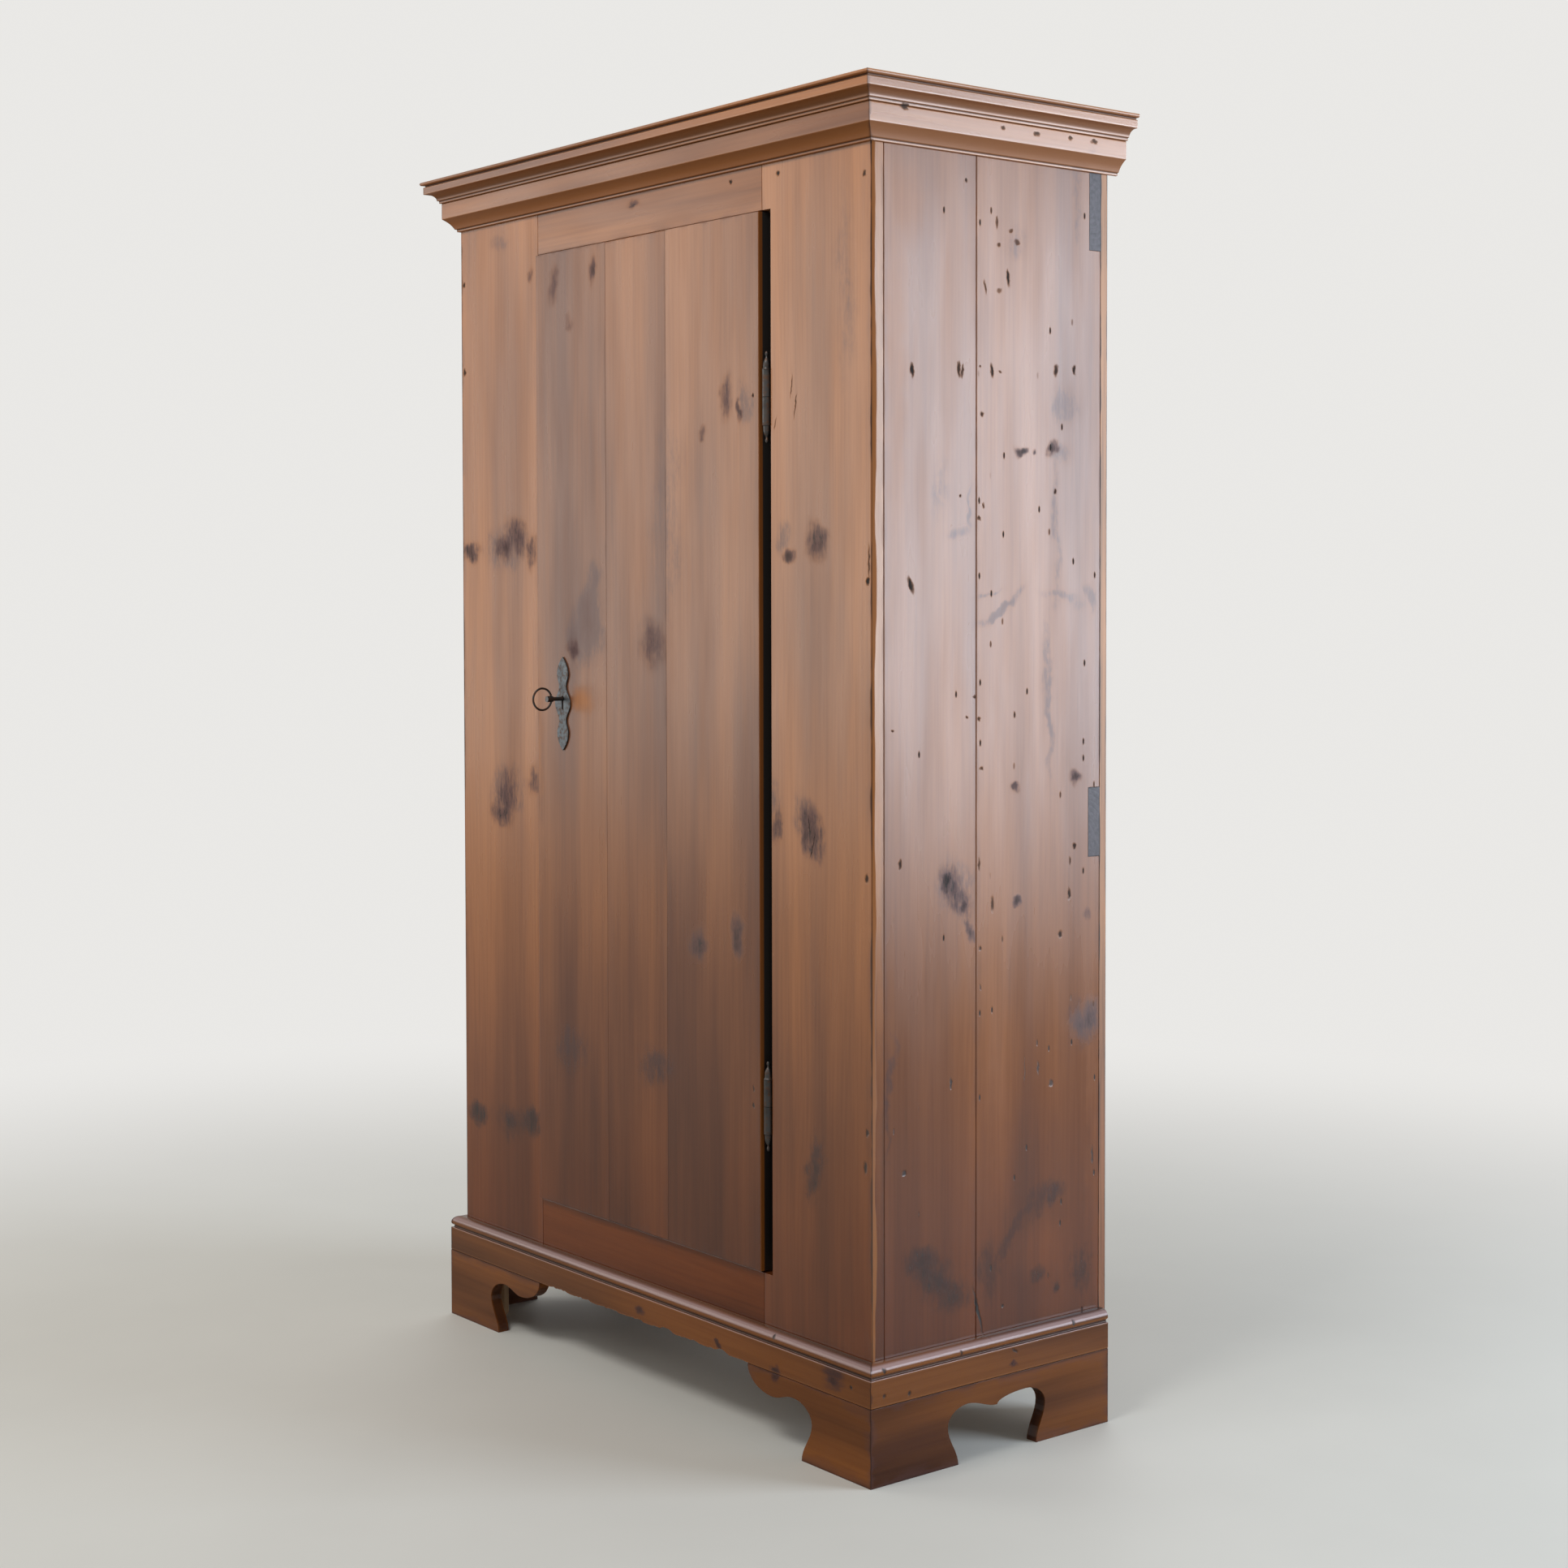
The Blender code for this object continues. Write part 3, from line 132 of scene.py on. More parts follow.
# The wood's tone, from 0 dark to 1 light: its middle, and how far it goes down and up
TONE_MIDDLE = 0.54
TONE_DOWN = 0.42
TONE_UP = 0.46
# Painted shade: between these heights the wood darkens towards the floor
DEEP_HEIGHTS = (0.12, 0.88)  # between them the wood deepens towards the floor
GLOSS_HEIGHTS = (0.25, 0.85)  # and below them it shines more

# Tints of the gloss, and tones that darken the wood by multiplying it; the foot and flank tones
# paint shade towards the floor
SIDE_GLOSS = (1.0, 0.95, 0.9, 1.0)
FRONT_GLOSS = (1.0, 0.9, 0.78, 1.0)
STREAK_SHADE = (0.5, 0.42, 0.38)
RING_SHADE = (0.25, 0.13, 0.09)
PAINTED_FOOT_SHADE = (0.45, 0.25, 0.10)
PAINTED_FLANK_SHADE = (0.56, 0.42, 0.36)
BARE_RING_SHADE = (0.35, 0.2, 0.12)
BARE_STREAK_SHADE = (0.5, 0.4, 0.3)
BARE_CLOUD_SHADE = (0.62, 0.5, 0.4)
PAINTED_BARE_FOOT_SHADE = (0.45, 0.3, 0.22)

SOOT = (0.02, 0.018, 0.018)  # grime on the iron

# Stage
FLOOR_SIZE = 60.0
FLOOR_MIDDLE = (0.45, -0.5, 0.0)
FLOOR_FADE = (1.2, 3.6)  # distances from its middle over which the floor turns to backdrop
FLOOR_SHADE = (0.6, 0.6, 0.6)
DAYLIGHT = (1.0, 0.985, 0.96, 1.0)
WHITE = (1.0, 1.0, 1.0)
LAMPS = {  # size, place, target and tone
    "window": ((2.0, 1.9), (3.2, 2.42, 1.42), (0.5, 0.05, 1.25), (0.72, 0.84, 1.0)),
    "ceiling": ((1.6, 1.0), (0.5, -2.1, 3.3), (0.0, -0.2, 1.6), WHITE),
    "left": ((1.9, 1.9), (-2.75, -2.45, 1.55), (0.0, -0.2, 1.3), WHITE),
    "rear": ((2.4, 1.4), (-2.0, 2.7, 2.9), (-0.5, 0.5, 0.5), WHITE),
}

# Camera, fitted to the photograph
PICTURE = 1932
CAMERA_PLACE = (2.9711, -2.2910, 1.1431)
CAMERA_YAW = 0.90046
CAMERA_PITCH = -0.03443
CAMERA_ROLL = -0.00201
CAMERA_LENS = 57.896
CAMERA_SENSOR = 36.0
MIDDLE_ROW = 850.0

# Marks in the wood, three on a line: place across, height, half width, half height, turn and
# strength, in millimetres, and degrees clockwise as seen from outside. Across is X on the front,
# and the distance behind the front on the side.
MILLIMETRE = 0.001
FRONT_KNOTS = (
    (-225, 1622, 12, 22, 10, 0.42), (-122, 1632, 9, 16, 0, 0.62), (-185, 1561, 7, 9, 0, 0.40),
    (201, 1425, 11, 22, 0, 0.38), (232, 1408, 5, 12, 0, 0.62), (151, 1378, 7, 8, 0, 0.45),
    (-176, 1074, 12, 9, 0, 0.55), (27, 1085, 24, 26, 0, 0.36), (137, 662, 17, 19, 0, 0.66),
    (226, 684, 13, 24, 0, 0.60), (-195, 470, 30, 28, 20, 0.36), (32, 476, 40, 21, -20, 0.40),
    (-479, 1226, 22, 14, 0, 0.72), (-372, 1232, 24, 15, -10, 0.55), (-342, 1246, 20, 26, -35, 0.50),
    (-298, 1222, 14, 20, 0, 0.52), (-28, 1717, 14, 5, 0, 0.50), (-300, 1644, 9, 8, 0, 0.42),
    (-297, 870, 12, 18, 0, 0.45), (-392, 812, 26, 15, 10, 0.52), (-376, 846, 22, 34, 20, 0.42),
    (306, 842, 13, 18, 0, 0.55), (377, 836, 19, 32, -15, 0.66), (333, 1207, 11, 8, 0, 0.86),
    (389, 1224, 18, 20, 0, 0.60), (382, 385, 12, 32, 10, 0.58), (-467, 330, 22, 17, 0, 0.66),
    (-372, 337, 15, 11, 0, 0.52), (-310, 342, 20, 20, 0, 0.60), (323, 108, 9, 10, 0, 0.72),
    (448, 126, 16, 14, 0, 0.60), (4, 119, 11, 5, 0, 0.60), (195, 117, 6, 4, 0, 0.72),
)
FRONT_SMUDGES = (
    (-134, 1124, 42, 74, 10, 0.95), (-164, 1088, 34, 50, -10, 0.85), (-120, 1172, 26, 40, 0, 0.6),
    (249, 1420, 22, 28, 0, 0.45), (205, 1430, 18, 30, 0, 0.35), (60, 1270, 60, 240, 0, 0.25),
    (316, 1226, 24, 22, 0, 0.50), (307, 880, 20, 26, 0, 0.45), (370, 850, 34, 60, -15, 0.35),
    (382, 390, 26, 70, 8, 0.35), (-382, 1700, 30, 18, 0, 0.35), (-376, 850, 60, 60, 12, 0.45),
    (27, 1090, 44, 50, 0, 0.35), (-180, 480, 60, 50, 0, 0.30), (40, 480, 70, 45, 0, 0.30),
    (-345, 335, 90, 38, 0, 0.42), (-375, 1232, 80, 40, -8, 0.50), (448, 130, 34, 26, 0, 0.40),
    (450, 1550, 30, 200, 0, 0.22),
)
FRONT_NICKS = (
    (206, 1719, 4, 3, 0, 1.0), (310, 1717, 4, 4, 0, 1.0), (-494, 1648, 4, 4, 0, 0.9),
    (-494, 1510, 4, 6, 0, 0.9), (263, 1424, 3, 3, 0, 1.0), (261, 480, 2, 5, 0, 0.9),
    (261, 457, 2, 5, 0, 0.9), (489, 1693, 4, 4, 0, 0.9), (497, 1196, 2, 22, 0, 0.8),
    (495, 1171, 4, 5, 0, 1.0), (492, 787, 4, 6, 0, 0.9), (492, 456, 3, 5, 0, 0.9),
    (489, 410, 4, 9, 0, 0.9), (303, 1385, 1, 9, 15, 0.7), (338, 1432, 1, 16, 8, 0.8),
    (346, 1405, 1, 18, 12, 0.8), (382, 822, 1, 20, 20, 0.9), (374, 850, 1, 14, -5, 0.8),
    (318, 153, 3, 4, 0, 0.9), (481, 124, 3, 3, 0, 0.9),
)
FRONT_RUBS = (
    (-156, 999, 34, 24, 0, 1.0), (-205, 1015, 14, 60, 0, 0.25), (286, 700, 6, 300, 0, 0.30),
    (-270, 900, 8, 200, 0, 0.25),
)
SIDE_RUBS = (
    (40, 1440, 22, 240, 0, 0.35), (60, 1660, 40, 60, 0, 0.30), (300, 260, 60, 50, 20, 0.45),
    (225, 420, 20, 140, 0, 0.30), (400, 420, 12, 160, 0, 0.30),
)
SIDE_KNOTS = (
    (132, 774, 8, 10, 0, 0.9), (158, 741, 6, 13, -25, 0.85), (147, 757, 13, 36, -34, 0.55),
    (171, 705, 6, 15, -15, 0.6), (87, 276, 24, 19, 0, 0.66), (108, 246, 60, 14, 33, 0.56),
    (138, 216, 14, 16, 0, 0.60), (261, 1347, 8, 6, 0, 0.75), (289, 1345, 4, 4, 0, 0.60),
    (324, 1351, 8, 6, 0, 0.70), (369, 904, 8, 8, 0, 0.75), (250, 891, 7, 5, 0, 0.70),
    (259, 735, 8, 5, 10, 0.75), (391, 563, 24, 20, -30, 0.52), (329, 330, 20, 13, 0, 0.45),
    (296, 225, 12, 14, 0, 0.45), (332, 203, 8, 6, 0, 0.60), (379, 216, 18, 25, 0, 0.42),
    (390, 712, 8, 9, 0, 0.42), (233, 115, 5, 4, 0, 0.60),
)
SIDE_SMUDGES = (
    (232, 1133, 62, 9, -30, 0.60), (215, 1158, 40, 5, -20, 0.35), (345, 1152, 50, 10, 12, 0.40),
    (401, 1146, 10, 20, 0, 0.50), (347, 1415, 34, 40, 0, 0.42), (335, 1340, 30, 18, 0, 0.40),
    (330, 1250, 12, 180, 0, 0.30), (322, 1010, 10, 150, 0, 0.38), (173, 1262, 6, 34, 0, 0.55),
    (154, 1230, 24, 10, 0, 0.38), (262, 292, 110, 16, -43, 0.50), (300, 335, 50, 26, -20, 0.40),
    (390, 560, 34, 40, 0, 0.42), (110, 248, 80, 40, 33, 0.45), (200, 240, 30, 60, 0, 0.40),
    (380, 215, 34, 50, 0, 0.40), (120, 1290, 30, 60, 0, 0.25), (264, 1630, 34, 20, 0, 0.28),
    (370, 1690, 14, 90, 0, 0.35), (140, 770, 40, 60, -25, 0.35), (30, 500, 6, 120, 0, 0.35),
)
SIDE_NICKS = (
    (164, 1699, 3, 3, 0, 0.9), (219, 1649, 2, 9, 0, 0.7), (223, 1620, 4, 3, 0, 0.7),
    (245, 1640, 4, 3, 0, 0.6), (256, 1626, 5, 4, 0, 0.6), (240, 1578, 3, 11, -6, 1.0),
    (198, 1562, 2, 10, -14, 0.7), (224, 1559, 4, 4, 0, 0.5), (69, 1445, 3, 10, -9, 1.0),
    (151, 1450, 3, 11, -6, 0.9), (157, 1448, 2, 10, 8, 0.8), (210, 1452, 3, 10, -9, 1.0),
    (329, 1459, 4, 8, 10, 0.9), (364, 1461, 3, 7, 0, 1.0), (189, 1456, 2, 2, 0, 0.8),
    (226, 1451, 3, 2, 0, 0.7), (12, 1498, 3, 4, 0, 0.9), (192, 1393, 3, 4, 0, 0.9),
    (154, 1284, 2, 2, 0, 0.9), (195, 1272, 2, 4, 0, 0.8), (187, 1255, 3, 3, 0, 0.8),
    (66, 1166, 4, 12, -22, 1.0), (328, 1294, 3, 4, 0, 0.9), (179, 1018, 3, 3, 0, 0.8),
    (166, 991, 2, 2, 0, 0.9), (187, 988, 3, 3, 0, 0.8), (192, 922, 3, 3, 0, 0.8),
    (35, 977, 2, 2, 0, 0.8), (48, 803, 3, 7, 0, 0.9), (212, 739, 3, 11, 0, 0.8),
    (187, 794, 2, 9, 0, 0.7), (356, 742, 3, 8, 0, 0.9), (339, 688, 5, 5, 0, 0.9),
    (366, 807, 3, 4, 0, 0.9), (358, 787, 2, 6, 0, 0.8), (189, 681, 3, 3, 0, 0.8),
    (190, 628, 2, 4, 0, 0.7), (137, 506, 2, 8, 4, 0.9), (297, 508, 3, 9, 0, 0.8),
    (322, 484, 4, 5, 0, 0.8), (55, 397, 4, 5, 0, 0.9), (402, 374, 2, 14, 0, 0.8),
    (232, 192, 3, 3, 0, 0.9), (186, 192, 3, 36, -15, 1.0), (272, 508, 1, 20, 0, 0.5),
    (36, 1777, 8, 3, 12, 0.9), (209, 1770, 4, 3, 0, 0.8), (272, 1769, 7, 3, 0, 0.8),
    (335, 1771, 4, 3, 0, 0.8), (380, 1771, 7, 3, 0, 0.8), (5, 150, 3, 4, 0, 0.9),
    (349, 151, 3, 4, 0, 0.9), (140, 148, 3, 4, 0, 0.8), (5, 117, 3, 3, 0, 0.8),
    (48, 113, 4, 4, 0, 0.9), (237, 134, 6, 3, 25, 0.8),
)

MARKS = {  # front and side tables, growth to where a mark fades out, and share of full strength
    "knots": (FRONT_KNOTS, SIDE_KNOTS, 1.9, 0.1),
    "smudges": (FRONT_SMUDGES, SIDE_SMUDGES, 1.35, 0.0),
    "rubs": (FRONT_RUBS, SIDE_RUBS, 1.3, 0.1),
    "nicks": (FRONT_NICKS, SIDE_NICKS, 1.25, 0.3),
}

# Profiles, as shares of the moulding's reach and height, from the wall's foot up the outside
CROWN_SHARES = {
    "bead": 0.526,
    "bead_top": 0.118,
    "cove_foot": 0.579,
    "cove_head": 0.842,
    "cove_top": 0.426,
    "fascia": 0.909,
    "fascia_top": 0.765,
    "quirk": 0.857,
    "quirk_top": 0.838,
}
FRIEZE_SHARES = {
    "lip": 0.203,
    "lip_top": 0.088,
    "foot": 0.315,
    "face_base": 0.454,
    "sag": 0.035,
}
BASE_SHARES = {
    "flat_top": 0.670,
    "quirk": 0.800,
    "quirk_top": 0.735,
    "nose_middle": 0.815,
    "nose_head": 0.380,
}
BITES = ((0.07, 0.012), (0.2, 0.008))  # right of the middle of the base's lower edge, and size
FINIAL_SHARES = (  # length along it from its tip, and radius as a share of the knuckle's
    (0.00, 0.00),
    (0.02, 0.24),
    (0.09, 0.36),
    (0.17, 0.37),
    (0.25, 0.26),
    (0.32, 0.28),
    (0.42, 0.52),
    (0.55, 0.72),
    (0.70, 0.80),
    (0.86, 0.84),
    (0.93, 1.00),
    (0.99, 0.98),
)
TIP_SHARE = 0.02  # radius of the finial's tip, and of the pin, as shares of the knuckle's
PIN_SHARE = 0.5


def tone(name, description, default):
    """A colour for the panel."""
    return FloatVectorProperty(
        name=name, description=description, subtype="COLOR", size=3, min=0, max=1, default=default
    )


def metres(name, description, default, low, high):
    """A length for the panel, in metres."""
    return FloatProperty(
        name=name, description=description, unit="LENGTH", min=low, max=high, default=default
    )


def power(name, description, default):
    """A lamp's power for the panel, in watts."""
    return FloatProperty(
        name=name, description=description, unit="POWER", min=0.0, max=500.0, default=default
    )


class CupboardWood(PropertyGroup):
    """Tones of the wood, and the sizes of its figure."""

    honey: tone("Honey", "Lightest tone of the waxed boards", (0.36, 0.142, 0.05))
    brown: tone("Brown", "Middle tone of the waxed boards", (0.135, 0.045, 0.018))
    plinth_light: tone("Plinth light", "Lighter tone of base and brackets", (0.36, 0.14, 0.036))
    plinth_dark: tone("Plinth dark", "Darker tone of base and brackets", (0.07, 0.024, 0.009))
    bare_light: tone("Bare light", "Lighter tone of the bare boards inside", (0.45, 0.28, 0.14))
    bare_dark: tone("Bare dark", "Darker tone of the bare boards inside", (0.29, 0.165, 0.08))
    end_grain: tone("End grain", "Blue-grey ends of the rails at the rear", (0.085, 0.072, 0.078))
    # Smudge also paints shade in a soft band along flat boards' edges
    smudge: tone("Smudge", "Purple-grey of old stain in the wood", (0.074, 0.035, 0.035))
    knot_rim: tone("Knot rim", "Colour around a knot's heart", (0.036, 0.018, 0.016))
    # Knot heart also paints the shadow deep in the door's slot
    knot_heart: tone("Knot heart", "Colour of a knot's heart", (0.012, 0.010, 0.010))
    rubbed: tone("Rubbed", "Arrises where the stain is rubbed thin", (0.42, 0.20, 0.09))
    # Painted highlight: lilac sheen on the upward faces of the base moulding's nose
    lilac_highlight: tone("Handled", "Lilac wax on top of the base moulding", (0.32, 0.215, 0.205))
    # Painted shade: deep orange on downward faces of the mouldings, on the door's edge in its slot
    # and along the stiles' outer arrises
    shade_orange: tone("Sheltered", "Deep orange of faces that hands never rub", (0.21, 0.066, 0.010))
    # Dark wax also paints shade in cuts, in hollows and as the dark line at a stile's outer arris
    wax: tone("Dark wax", "Wax and dirt along edges and joints", (0.03, 0.013, 0.010))
    ring: metres("Growth ring", "Width of a growth ring on a sawn face", 0.008, 0.002, 0.03)
    # Its reach also sets the painted shade along edges and at the stiles' outer arrises
    edge: metres("Waxed edge", "Reach of the dark wax in from a board's edge", 0.0035, 0.0, 0.02)


class CupboardIron(PropertyGroup):
    """Tones of the iron, and the sizes of the hinge pins."""

    black: tone("Black iron", "Hinges and key", (0.055, 0.052, 0.05))
    plate: tone("Plate iron", "Blue-grey iron of the keyhole's plate", (0.085, 0.094, 0.10))
    rust: tone("Rust", "Brown bloom on the iron", (0.09, 0.045, 0.025))
    knuckle: metres("Knuckle radius", "Radius of the hinges' knuckles", 0.0062, 0.003, 0.012)
    finial: metres("Finial length", "Length of the turned end of a hinge pin", 0.026, 0.01, 0.05)


class CupboardWear(PropertyGroup):
    """How far use has worn the edges."""

    arris: metres("Arris", "Width of the worn edge of the flat boards", 0.0016, 0.0, 0.004)
    easing: metres("Easing", "How far the mouldings' arrises are rounded", 0.0011, 0.0, 0.003)
    waver: metres("Waver", "How far a moulding's outside wanders", 0.0005, 0.0, 0.002)
    chip: metres("Chips", "Depth of the chips along the base's lower edge", 0.0045, 0.0, 0.01)


class CupboardStage(PropertyGroup):
    """Floor, backdrop and lamps."""

    floor: tone("Floor", "Colour of the floor", (0.625, 0.61, 0.555))
    backdrop: tone("Backdrop", "Colour seen behind the cupboard", (0.82, 0.81, 0.79))
    fill: FloatProperty(
        name="Fill light", description="Even light from all round", min=0.0, max=2.0, default=0.3,
    )
    window: power("Window light", "Power of the light that glosses the right side", 170.0)
    ceiling: power("Ceiling light", "Power of the light above the front", 58.0)
    left: power("Left light", "Power of the tall light to the left of the front", 33.0)
    rear: power("Rear light", "Power of the light above and behind, for back and floor", 20.0)


class Recipe:
    """A node tree that is filled step by step. Terms may be numbers, tuples or sockets."""

    def __init__(self, tree):
        self.tree = tree

    def feed(self, socket, term):
        """Links a socket, or sets its value."""
        if isinstance(term, bpy.types.NodeSocket):
            self.tree.links.new(term, socket)
        else:
            socket.default_value = term

    def add(self, kind, terms=(), **settings):
        """A new node with its settings and its named inputs."""
        node = self.tree.nodes.new(kind)
        for name, value in settings.items():
            setattr(node, name, value)
        for name, term in dict(terms).items():
            self.feed(node.inputs[name], term)
        return node

    def number(self, operation, *terms):
        """The result of one sum with numbers."""
        node = self.add("ShaderNodeMath", operation=operation)
        for socket, term in zip(node.inputs, terms):
            self.feed(socket, term)
        return node.outputs[0]

    def times(self, first, second):
        """The product of two numbers."""
        return self.number("MULTIPLY", first, second)

    def greater(self, first, second):
        """The greater of two numbers."""
        return self.number("MAXIMUM", first, second)

    def apart(self, first, second):
        """How far two numbers are apart."""
        return self.number("ABSOLUTE", self.number("SUBTRACT", first, second))

    def vector(self, operation, *terms):
        """The result of one sum with vectors: a vector, or a number for a length."""
        node = self.add("ShaderNodeVectorMath", operation=operation)
        for socket, term in zip(node.inputs, terms):
            self.feed(socket, term)
        return node.outputs["Value" if operation == "LENGTH" else "Vector"]

    def parts(self, point):
        """A point's x, y and z."""
        return self.add("ShaderNodeSeparateXYZ", {"Vector": point}).outputs

    def attribute(self, name):
        """A number that the mesh keeps for each of its points."""
        return self.add("ShaderNodeAttribute", attribute_name=name).outputs["Fac"]

    def summed(self, total, *weighted):
        """A number with each term added to it by its weight."""
        for term, weight in weighted:
            total = self.number("MULTIPLY_ADD", term, weight, total)
        return total

    def noise(self, point, scale, detail=3.0, roughness=0.5):
        """Noise from 0 to 1 at a point stretched by three scales, in waves per metre."""
        stretched = self.vector("MULTIPLY", point, scale)
        node = self.add(
            "ShaderNodeTexNoise",
            {"Vector": stretched, "Scale": 1.0, "Detail": detail, "Roughness": roughness},
        )
        return node.outputs["Fac"]

    def spread(self, value, low, high, to_low=0.0, to_high=1.0):
        """A value between two limits, spread smoothly over a new range."""
        node = self.add("ShaderNodeMapRange", interpolation_type="SMOOTHSTEP")
        for socket, term in zip(node.inputs, (value, low, high, to_low, to_high)):
            self.feed(socket, term)
        return node.outputs["Result"]

    def falling(self, value, low, high):
        """1 up to the low limit, falling smoothly to 0 at the high one."""
        return self.spread(value, low, high, 1.0, 0.0)

    def mix(self, share, first, second, blend="MIX"):
        """The first colour with a share of the second over it."""
        node = self.add("ShaderNodeMix", data_type="RGBA", blend_type=blend)
        self.feed(node.inputs["Factor"], share)
        self.feed(node.inputs[6], colour(first))
        self.feed(node.inputs[7], colour(second))
        return node.outputs[2]

    def shaded(self, share, first, second):
        """The first colour with a share of it multiplied by the second."""
        return self.mix(share, first, second, "MULTIPLY")

    def most(self, values):
        """The greatest of several masks, 0 where there are none."""
        found = 0.0
        for value in values:
            found = self.greater(found, value)
        return found


def colour(term):
    """A colour socket as it is, or three numbers with full alpha."""
    if isinstance(term, bpy.types.NodeSocket) or len(term) == 4:
        return term
    return (*term, 1.0)


def new_material(name, roughness=0.5):
    """A material with its shader, its recipe and the object's own coordinates."""
    material = bpy.data.materials.new(name)
    material.use_nodes = True
    recipe = Recipe(material.node_tree)
    shader = material.node_tree.nodes["Principled BSDF"]
    shader.inputs["Roughness"].default_value = roughness
    point = recipe.add("ShaderNodeTexCoord").outputs["Object"]
    return material, recipe, shader, point


def mark_group():
    """Node group: how strongly a point lies in an oval mark, 1 at its core and 0 outside it."""
    tree = bpy.data.node_groups.get("oval mark")
    if tree:
        return tree
    tree = bpy.data.node_groups.new("oval mark", "ShaderNodeTree")
    for kind, names in (
        ("NodeSocketVector", ("Point", "Centre", "Reach", "Axis")),
        ("NodeSocketFloat", ("Turn", "Core", "Strength")),
    ):
        for name in names:
            tree.interface.new_socket(name, in_out="INPUT", socket_type=kind)
    tree.interface.new_socket("Mask", in_out="OUTPUT", socket_type="NodeSocketFloat")
    recipe = Recipe(tree)
    given = recipe.add("NodeGroupInput").outputs
    offset = recipe.vector("SUBTRACT", given["Point"], given["Centre"])
    terms = {"Vector": offset, "Axis": given["Axis"], "Angle": given["Turn"]}
    turned = recipe.add("ShaderNodeVectorRotate", terms, rotation_type="AXIS_ANGLE")
    scaled = recipe.vector("DIVIDE", turned.outputs["Vector"], given["Reach"])
    distance = recipe.vector("LENGTH", scaled)
    mask = recipe.falling(distance, given["Core"], 1.0)
    recipe.add("NodeGroupOutput", {"Mask": recipe.times(mask, given["Strength"])})
    return tree


class Board:
    """How a board lies: its grain's axis, the axis that its face looks along, and its box."""

    def __init__(self, node, grain, face):
        self.node = node
        self.grain = AXES[grain]
        self.face = AXES[face]
        self.across = 3 - self.grain - self.face
        self.low, self.high = (np.array(corner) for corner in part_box(node))
        self.middle = (self.low + self.high) / 2
        self.half = (self.high - self.low) / 2
        self.seed = sum(ord(letter) for letter in node)

    def on_the_side(self):
        """Whether its face looks along X."""
        return self.face == 0

    def shift(self, steps):
        """How far this board's noise is moved, so that no two boards look alike."""
        return tuple(self.seed * step % 5 for step in steps)

    def stretch(self, across, along):
        """Scales for a noise that is drawn out along the grain."""
        scales = [across, across, across]
        scales[self.grain] = along
        return tuple(scales)

    def marks(self, front, side, growth):
        """The marks that reach this board, in metres and grown to where they fade out."""
        if self.face == 2 or self.middle[0] < 0 and self.on_the_side():
            return []
        table, start, lateral = (side, FRONT_Y, 1) if self.on_the_side() else (front, 0.0, 0)
        found = []
        for across, height, wide, tall, turn, strength in table:
            place = start + across * MILLIMETRE, height * MILLIMETRE
            wide, tall = wide * growth * MILLIMETRE, tall * growth * MILLIMETRE
            reach = max(wide, tall)
            inside = (
                abs(place[0] - self.middle[lateral]) < self.half[lateral] + reach
                and abs(place[1] - self.middle[2]) < self.half[2] + reach
            )
            if inside:
                centre = [0.0, 0.0, place[1]]
                centre[self.face] = self.middle[self.face]
                centre[lateral] = place[0]
                spread = [THROUGH, THROUGH, tall]
                spread[lateral] = wide
                found.append((centre, spread, math.radians(turn), strength))
        return found


def run_board(node):
    """How a moulding's run lies, along the front or along a side."""
    return Board(node, "X", "Y") if node.endswith("front") else Board(node, "Y", "X")


def mark_mask(recipe, board, point, kind):
    """The greatest mask of all marks of one kind that reach a board."""
    front, side, growth, core = MARKS[kind]
    axis = [0.0, 0.0, 0.0]
    axis[board.face] = 1.0 if board.on_the_side() else -1.0
    masks = []
    for centre, reach, turn, strength in board.marks(front, side, growth):
        values = {
            "Point": point, "Centre": centre, "Reach": reach, "Axis": axis,
            "Turn": turn, "Core": core, "Strength": strength,
        }
        masks.append(recipe.add("ShaderNodeGroup", values, node_tree=mark_group()).outputs["Mask"])
    return recipe.most(masks)


def figure(recipe, board, point, name):
    """A named noise, drawn out along a board's grain."""
    across, along, detail, roughness = FIGURES[name]
    return recipe.noise(point, board.stretch(across, along), detail, roughness)


def growth_rings(recipe, board, point, swell, width):
    """Late wood from 0 to 1: rings about a pith that wanders along the grain, pushed by knots."""
    parts = recipe.parts(point)
    strayed = figure(recipe, board, point, "pith")
    drift = min(PITH_DRIFT, 1.6 * board.half[board.across])
    sway = recipe.number("MULTIPLY_ADD", strayed, drift, -drift / 2)
    pith = board.middle[board.across] + board.half[board.across] * math.sin(board.seed)
    across = recipe.number("ADD", recipe.number("SUBTRACT", parts[board.across], pith), sway)
    deep = board.middle[board.face] - PITH_DEPTH - PITH_RANGE * math.cos(board.seed)
    depth = recipe.number("SUBTRACT", parts[board.face], deep)
    squares = recipe.number("MULTIPLY_ADD", across, across, recipe.times(depth, depth))
    radius = recipe.number("SQRT", squares)
    ripple = figure(recipe, board, point, "ripple")
    radius = recipe.summed(radius, (ripple, width * 1.4), (swell, width * 3.0))
    phase = recipe.times(radius, math.tau / width)
    wave = recipe.number("MULTIPLY_ADD", recipe.number("SINE", phase), 0.5, 0.5)
    return recipe.number("POWER", wave, 3.0)


